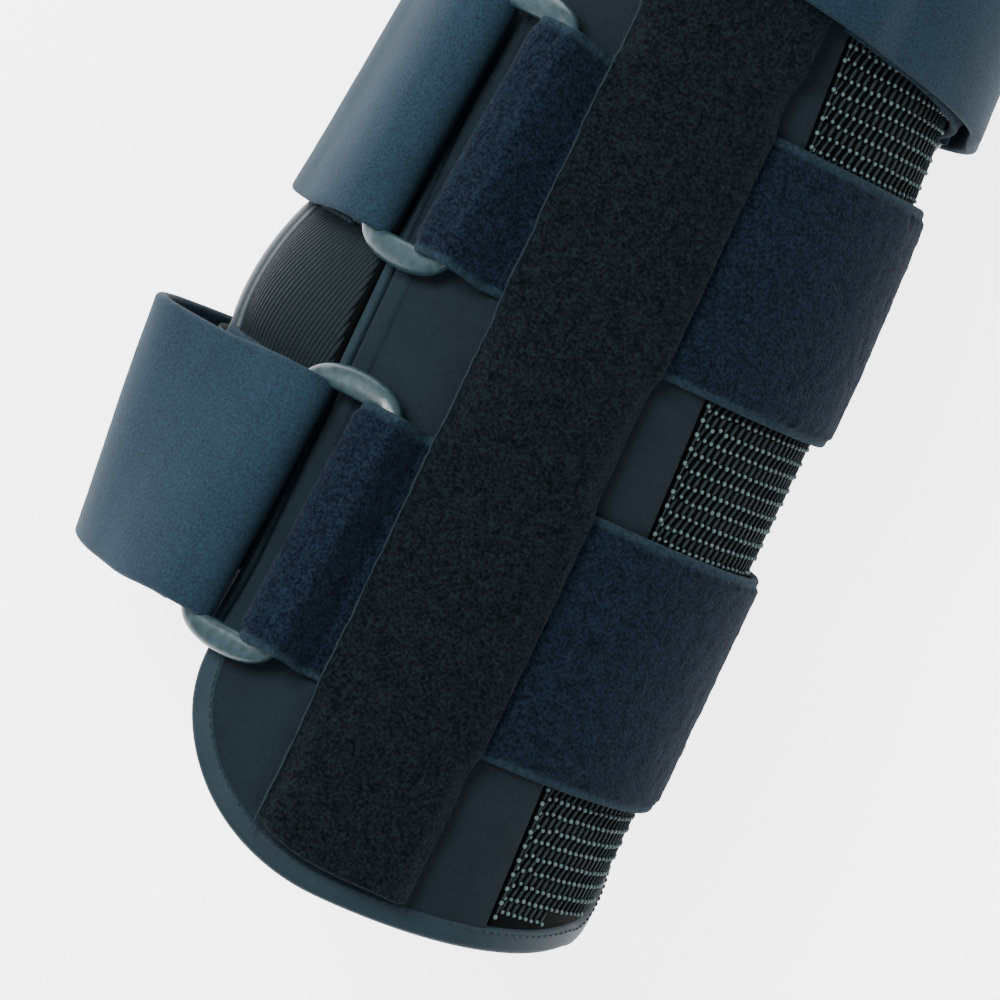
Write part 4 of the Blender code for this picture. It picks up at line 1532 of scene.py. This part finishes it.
def make_thumb_binding():
    """The tape folded over the thumb opening's rim."""
    size = sleeve()
    turns = np.linspace(0, 2 * math.pi, 121)
    beta = np.linspace(0, 2 * math.pi, 21)
    t, b = np.meshgrid(turns, beta, indexing="ij")
    inset = size.binding * (0.5 - 0.5 * squared(np.cos(b), 0.7))
    low, high = size.lining / 2 - 0.0002, panel_out() + TAPE_RAISED
    w = 0.5 + 0.5 * squared(np.sin(b), 0.7)
    y, angle = thumb_rim(inset, t)
    points = surface(y, angle, mix(low, high, w))
    points[-1] = points[0]
    obj = add_grid("thumb_binding", points, {})
    weld(obj, 70)
    return wear(obj, "binding", "sleeve", "binding_tape", "thumb_hole_binding")


def stitches_on(line, pitch):
    """Centres and axes of stitches spaced evenly along a line of (place, angle, offset)."""
    y, angle, offset = line
    points = surface(y, angle, offset)
    run = np.concatenate(([0.0], np.cumsum(np.linalg.norm(np.diff(points, axis=0), axis=1))))
    at = np.arange(pitch / 2, run[-1], pitch)
    centre = np.stack([np.interp(at, run, points[:, k]) for k in range(3)], -1)
    ahead = np.stack([np.interp(at + 2e-4, run, points[:, k]) for k in range(3)], -1)
    behind = np.stack([np.interp(at - 2e-4, run, points[:, k]) for k in range(3)], -1)
    heading = ahead - behind
    heading /= np.maximum(np.linalg.norm(heading, axis=1, keepdims=True), 1e-12)
    _, _, _, out = axes_on(np.interp(at, run, y), np.interp(at, run, angle), panel_out())
    side = np.cross(out, heading)
    return centre, heading, side, out


def make_stitches():
    """Lockstitch along the elbow end's upper binding, round the thumb opening and along the hand end, and
    where the wrist strap's tab is sewn down.
    """
    size = sleeve()
    outer, inner = elbow_paths()
    t = np.linspace(0, 1, 500)
    y0, a0 = outer(t)
    y1, a1 = inner(t)
    high = panel_out() + STITCH_RAISED
    lines = [(mix(y0, y1, 0.80), mix(a0, a1, 0.80), np.full(500, high), 0.0015)]
    turns = np.linspace(0, 2 * math.pi, 400)
    y, angle = thumb_rim(size.binding * 0.22, turns)
    lines.append((y, angle, np.full(400, high), 0.0016))
    before, after = STAY_WAY
    side, last = size.side_angle, lower_end()
    for start, stop in ((web_angle(), before), (after, side), (side, last)):
        angle = np.linspace(start + 1, stop - 1, 400)
        far = np.full(400, size.length - size.binding * 0.8)
        lines.append((far, angle, np.full(400, high - 0.0004), 0.0016))
    wrist = all_straps()[-1]
    b = np.linspace(0.003, strap_sizes().width - 0.003, 60)
    for back in SEWN_ROWS:
        angle = np.full(60, wrist.tab_end - wrist.turns(back))
        y = wrist.centre(angle) + b - strap_sizes().width / 2
        lines.append((y, angle, np.full(60, strap_out() + 5e-5), 0.0022))
    parts = [stitches_on(line[:3], line[3]) for line in lines]
    centre, heading, side, out = (np.concatenate(v) for v in zip(*parts))
    obj = repeat_beads("stitches", centre, heading, side, out, STITCH)
    return wear(obj, "thread", "sleeve", None)


def make_mesh_side():
    """The open mesh: knots in rows across the arm, pairs of rows joined by slanted threads."""
    size = sleeve()

    def start(share):
        angle = mix(mesh_edge(0.0), size.side_angle, share)
        return right_outline(angle) + size.binding * 0.6

    ground = panel(
        "mesh_ground",
        lambda y: mesh_edge(y) + 0.2,
        steady(size.side_angle),
        start,
        hand_edge,
        panel_in(),
        panel_out() - MESH_SINK,
        PANEL_STEP,
    )
    wear(ground, "mesh_base", "sleeve", "open_mesh", "side_mesh_panel")
    knots, joins, slants = mesh_places()
    centre, along, across, out = axes_on(*knots, panel_out() - 0.00025)
    vary = (1 + 0.22 * value_noise(knots[0] * 9000, knots[1] * 9, 1.0, 23))[:, None]
    dots = repeat_beads("mesh_knots", centre, along * vary, across * vary, out, KNOT)
    wear(dots, "mesh_dot", "sleeve", "open_mesh")
    axes = axes_on(*joins, panel_out() - 0.00045, THREAD_TURN)
    wear(repeat_beads("mesh_threads", *axes, THREAD), "mesh_link", "sleeve", "open_mesh")
    axes = axes_on(*slants, panel_out() - 0.00050, WEB_TURN)
    wear(repeat_beads("mesh_webs", *axes, WEB), "mesh_link", "sleeve", "open_mesh")
    y = np.arange(size.binding + 0.0032, size.length - size.binding - 0.001, SEAM_PITCH)
    edge = mesh_edge(y) + float(arc_degrees(0.1, 40.0, 0.0004, panel_out()))
    axes = axes_on(y, edge, panel_out() + 0.0001)
    wear(repeat_beads("mesh_seam_stitches", *axes, SEAM_STITCH), "mesh_dot", "sleeve", None)
    axes = axes_on(y + SEAM_PITCH / 2, edge, panel_out() + 0.00002)
    wear(repeat_beads("mesh_seam_thread", *axes, SEAM_THREAD), "mesh_link", "sleeve", None)
    return ground


def mesh_places():
    """Places and angles of the knots, of the threads in a pair of rows and of those between
    pairs."""
    size = sleeve()
    knots, joins, slants = [], [], []
    y = size.binding - 0.0024
    while y < size.length - size.binding - 0.001:
        for k in range(2):
            row_y = y + k * NEAR_ROW
            left = float(mesh_edge(row_y))
            per = float(arc_degrees(row_y, SIDE_TURN, 0.001, panel_out())) * 1000
            run = size.side_angle - left - 0.0018 * per
            share = np.arange(0, 1, KNOT_PITCH * per / run / 0.72)
            angle = left + 0.0010 * per + run * (0.72 * share + 0.28 * share**2)
            seeds = (angle * 7.7, np.full(angle.shape, row_y * 5000))
            crowd = 0.0006 * np.exp(-(angle - left) / (0.004 * per))
            row = row_y + (0.00007 + crowd) * value_noise(*seeds, 1.0, 11)
            angle = angle + (0.5 * KNOT_PITCH * k + 0.00006 * value_noise(*seeds, 1.0, 17)) * per
            fit = row > right_outline(angle) + size.binding + 0.0008
            knots.append(np.stack((row, angle))[:, fit])
            if k == 0:
                between = (row + NEAR_ROW / 2, angle + 0.25 * KNOT_PITCH * per)
                joins.append(np.stack(between)[:, fit])
            else:
                between = (row + FAR_ROW / 2, angle - 0.05 * KNOT_PITCH * per)
                slants.append(np.stack(between)[:, fit])
        y += NEAR_ROW + FAR_ROW
    return [np.concatenate(found, axis=1) for found in (knots, joins, slants)]


def strap_cover(y):
    """1 where a forearm or wrist strap lies under the strip, easing to 0 between them."""
    half = strap_sizes().width / 2
    cover = np.zeros(np.shape(y))
    for lane in (*strap_sizes().forearm, strap_sizes().wrist):
        cover = np.maximum(cover, 1 - ease(half - 0.001, half + 0.003, np.abs(y - lane)))
    return cover


def make_strip():
    """The pile strip. Its sewn edges reach down to the panel between the straps."""
    size, half = strap_sizes(), strap_sizes().strip_width / 2
    inset = sleeve().binding + sleeve().seam
    run = sleeve().length - 2 * inset

    def place(a, b, w):
        x = b - half
        angle = angle_at(0.002, x, panel_out())
        left = float(bound_angle(0.0, 0.0))
        dip = np.where(angle < 0, 1 - np.sqrt(np.clip(1 - (angle / left) ** 2, 0, 1)), 0)
        y = inset + a + (sleeve().corner - inset) * dip * np.clip(1 - a / run, 0, 1) ** 6
        near = half - np.abs(x)
        dropped = STRIP_DROP * (1 - ease(0.0004, 0.0034, near)) * (1 - strap_cover(y))
        skirt = (1 - ease(0.0004, 0.0020, near)) * (1 - strap_cover(y))
        inner = strip_in() - skirt * (strip_in() - panel_out() - 0.0002)
        soft = 0.00035 * (1 - ease(0.0, 0.0022, near))
        waver = 0.00012 * value_noise(y, np.sign(x), 0.009, 31) * (1 - ease(0.0, 0.004, near))
        outer = strip_out() - dropped * (strip_out() - panel_out() - STRIP_SEWN) - soft
        return surface(y, angle_at(y, x + waver, strip_in()), mix(inner, outer, w))

    def fuzz(a, b):
        loops = 0.00011 * value_noise(a, b, 0.0007, 41) + 0.00012 * value_noise(a, b, 0.0019, 43)
        return loops + 0.00008 * value_noise(a, b, 0.006, 47)

    along, across = (marks(0, side, step_size(STRIP_STEP)) for side in (run, size.strip_width))
    obj = slab("pile_strip_cloth", place, along, across, fuzz, ROUND)
    return wear(obj, "strip", "sleeve", "strip_pile", "pile_strip")


def make_ridge():
    """The raised edge along the strip's left side."""
    inset = sleeve().binding + sleeve().seam
    run, half = sleeve().length - 2 * inset, strap_sizes().strip_width / 2
    y = np.arange(inset, inset + run, RIDGE_STEP)
    waver = 0.00010 * value_noise(y, y * 0, 0.0035, 53) + 0.00008 * value_noise(y, y * 0, 0.0011, 59)
    lowered = STRIP_DROP * (strip_out() - panel_out() - STRIP_SEWN)
    edge_offset = strip_out() - 0.0006 - lowered * (1 - strap_cover(y))
    angle = angle_at(y, -half + 0.00005 + waver, strip_in())
    centre, _, across, out = axes_on(y, angle, edge_offset)
    radius = RIDGE_RADIUS + 0.00006 * value_noise(y, y * 0, 0.0016, 61)
    ridge = tube("strip_selvage", centre, across, out, radius, 8)
    return wear(ridge, "ridge", "sleeve", None)


def bevel_edges(obj, width, segments, limit):
    bevel = obj.modifiers.new("rounding", "BEVEL")
    bevel.width, bevel.segments, bevel.limit_method = width, segments, limit
    bpy.ops.object.modifier_apply(modifier=bevel.name)


def make_stay():
    """A flat aluminium bar with round ends and softened edges."""
    size = strap_sizes()
    near = point(size.stay_inset, 0, strap_in() + size.stay_thick / 2)
    far = point(size.stay_inset + size.stay_length, 0, strap_in() + size.stay_thick / 2)
    bpy.ops.object.select_all(action="DESELECT")
    bpy.ops.mesh.primitive_cube_add(size=1)
    obj = bpy.context.object
    obj.name = "stay_bar"
    only(obj)
    bpy.ops.object.mode_set(mode="EDIT")
    bpy.ops.mesh.select_all(action="SELECT")
    bpy.ops.transform.resize(value=(size.stay_width, size.stay_length, size.stay_thick))
    bpy.ops.object.mode_set(mode="OBJECT")
    weights = obj.data.attributes.new("bevel_weight_edge", "FLOAT", "EDGE")
    for edge in obj.data.edges:
        a, b = (obj.data.vertices[i].co for i in edge.vertices)
        weights.data[edge.index].value = float(abs(a.z - b.z) > size.stay_thick / 2)
    bevel_edges(obj, size.stay_width / 2 - STAY_CORNER, 12, "WEIGHT")
    bevel_edges(obj, STAY_EDGE, 3, "ANGLE")
    lean = math.atan2(far.z - near.z, far.y - near.y)
    obj.data.transform(Matrix.Translation((near + far) / 2) @ Matrix.Rotation(lean, 4, "X"))
    bpy.ops.object.shade_smooth_by_angle(angle=math.radians(40))
    return wear(obj, "stay", "stay", "stay_aluminium", "stay")


# Operators: one for each piece or group of like pieces, and one for the stage


class SplintOperator:
    """What the operators share."""

    bl_options = {"REGISTER", "UNDO"}

    def execute(self, context):
        self.build()
        return {"FINISHED"}


class SPLINT_OT_panels(SplintOperator, bpy.types.Operator):
    """Adds the laminate panels, the linings and the thumb web"""

    bl_idname = "splint.panels"
    bl_label = "Panels"

    def build(self):
        upper = upper_sheet("upper_cloth", panel_in(), panel_out(), PANEL_STEP)
        wear(upper, "laminate", "sleeve", "panel_laminate", "upper_panel")
        lining = upper_sheet("upper_lining_cloth", 0.0, sleeve().lining, LINING_STEP)
        wear(lining, "lining", "sleeve", "lining_cloth", "upper_lining")
        lower = lower_sheet("lower_cloth", panel_in(), panel_out(), PANEL_STEP)
        wear(lower, "laminate", "sleeve", "panel_laminate", "lower_panel")
        under = lower_sheet("lower_lining_cloth", 0.0, sleeve().lining, LINING_STEP)
        wear(under, "lining", "sleeve", "lining_cloth", "lower_lining")
        web = make_web()
        for obj in (upper, lining, lower, under, web):
            declare(obj)


class SPLINT_OT_bindings(SplintOperator, bpy.types.Operator):
    """Adds the binding tapes and the stitching"""

    bl_idname = "splint.bindings"
    bl_label = "Bindings and stitching"

    def build(self):
        make_bindings()
        make_thumb_binding()
        make_stitches()


class SPLINT_OT_mesh_side(SplintOperator, bpy.types.Operator):
    """Adds the open mesh panel on the right"""

    bl_idname = "splint.mesh_side"
    bl_label = "Mesh side"

    def build(self):
        declare(make_mesh_side())


class SPLINT_OT_gusset(SplintOperator, bpy.types.Operator):
    """Adds the ribbed elastic gusset, its seam tape and its piping"""

    bl_idname = "splint.gusset"
    bl_label = "Gusset"

    def build(self):
        declare(make_gusset())
        make_tape()
        make_piping()


class SPLINT_OT_strip(SplintOperator, bpy.types.Operator):
    """Adds the pile strip and the stay under it"""

    bl_idname = "splint.strip"
    bl_label = "Strip and stay"

    def build(self):
        make_strip()
        make_ridge()
        make_stay()


class SPLINT_OT_straps(SplintOperator, bpy.types.Operator):
    """Adds the straps' bands, tabs, free ends and hook tapes"""

    bl_idname = "splint.straps"
    bl_label = "Straps"

    def build(self):
        for strap in all_straps():
            make_band(strap)
            make_tab(strap)
            make_free_end(strap)
            make_hooks(strap)


class SPLINT_OT_rings(SplintOperator, bpy.types.Operator):
    """Adds the moulded rings"""

    bl_idname = "splint.rings"
    bl_label = "Rings"

    def build(self):
        for strap in all_straps():
            make_ring(strap)


def area_light(name, away, target, size, power):
    """A round light this far from the target, turned to it."""
    data = bpy.data.lights.new(name, "AREA")
    data.shape, data.size, data.energy = "DISK", size, power
    obj = bpy.data.objects.new(name, data)
    bpy.context.collection.objects.link(obj)
    place = target + Vector(away)
    obj.location = place
    obj.rotation_euler = (target - place).to_track_quat("-Z", "Y").to_euler()


class SPLINT_OT_stage(SplintOperator, bpy.types.Operator):
    """Adds the floor, the lights and the camera"""

    bl_idname = "splint.stage"
    bl_label = "Stage"

    def build(self):
        stage = stage_settings()
        bpy.ops.object.select_all(action="DESELECT")
        bpy.ops.mesh.primitive_plane_add(size=FLOOR_SIZE, location=(0, 0, -FLOOR_DROP))
        floor = bpy.context.object
        floor.name = "floor"
        made = Finish("floor_look")
        glow = {"Emission_Color": (1, 1, 1, 1), "Emission_Strength": stage.glow}
        floor.data.materials.append(made.done(tuple(colours().floor), 0.9, **glow))
        target = Vector(stage.target)
        area_light("key_light", KEY_PLACE, target, KEY_SIZE, stage.key)
        area_light("fill_light", FILL_PLACE, target, FILL_SIZE, stage.fill)
        world = bpy.data.worlds.new("surround")
        world.use_nodes = True
        background = world.node_tree.nodes["Background"]
        background.inputs["Color"].default_value = (1, 1, 1, 1)
        background.inputs["Strength"].default_value = stage.world
        bpy.context.scene.world = world
        add_camera(stage, target)


def add_camera(stage, target):
    """The camera above the forearm, turned so that the arm leans to the right."""
    back = Vector((
        -math.tan(math.radians(stage.lean_left)),
        math.tan(math.radians(stage.lean_hand)),
        1.0,
    )).normalized()
    roll = math.radians(stage.roll)
    up = Vector((-math.sin(roll), math.cos(roll), 0))
    up = (up - up.dot(back) * back).normalized()
    data = bpy.data.cameras.new("camera")
    data.lens, data.clip_start, data.clip_end = stage.lens, 0.01, 50
    camera = bpy.data.objects.new("camera", data)
    bpy.context.collection.objects.link(camera)
    turn = Matrix((up.cross(back), up, back)).transposed().to_4x4()
    camera.matrix_world = Matrix.Translation(target + back * stage.distance) @ turn
    bpy.context.scene.camera = camera


def declare(obj):
    """Works out the flat size that a piece of cloth was cut to; nothing is done with it."""
    area, width, long = flat_size(obj)


def flat_size(obj):
    """Area, width and length of a thin closed piece, from its faces and its box."""
    area = sum(face.area for face in obj.data.polygons) / 2
    points = np.array([v.co[:] for v in obj.data.vertices])
    long = float(np.ptp(points[:, 1]))
    width = max(0.011, area / long * 1.02)
    return min(area, width * long), width, long


OPERATORS = (
    SPLINT_OT_panels,
    SPLINT_OT_bindings,
    SPLINT_OT_mesh_side,
    SPLINT_OT_gusset,
    SPLINT_OT_strip,
    SPLINT_OT_straps,
    SPLINT_OT_rings,
    SPLINT_OT_stage,
)


class SPLINT_PT_panel(bpy.types.Panel):
    """Sizes, colours and the steps that build the splint"""

    bl_idname = "SPLINT_PT_panel"
    bl_label = "Wrist splint"
    bl_space_type = "VIEW_3D"
    bl_region_type = "UI"
    bl_category = "Splint"

    def draw(self, context):
        for operator in OPERATORS:
            self.layout.operator(operator.bl_idname)
        for group in (sleeve(), strap_sizes(), ring_sizes(), colours(), stage_settings()):
            box = self.layout.box()
            for key in group.bl_rna.properties.keys():
                if key not in ("rna_type", "name"):
                    box.prop(group, key)


GROUPS = {
    "splint_sleeve": SleeveSizes,
    "splint_straps": StrapSizes,
    "splint_rings": RingSizes,
    "splint_colours": Colours,
    "splint_stage": StageSettings,
}


def register():
    for made in (*GROUPS.values(), *OPERATORS, SPLINT_PT_panel):
        bpy.utils.register_class(made)
    for key, group in GROUPS.items():
        setattr(bpy.types.Scene, key, PointerProperty(type=group))


def unregister():
    for key in GROUPS:
        delattr(bpy.types.Scene, key)
    for made in (SPLINT_PT_panel, *OPERATORS[::-1], *list(GROUPS.values())[::-1]):
        bpy.utils.unregister_class(made)


def main():
    register()
    for operator in OPERATORS:
        getattr(bpy.ops.splint, operator.bl_idname.split(".")[1])()


if __name__ == "__main__":
    main()
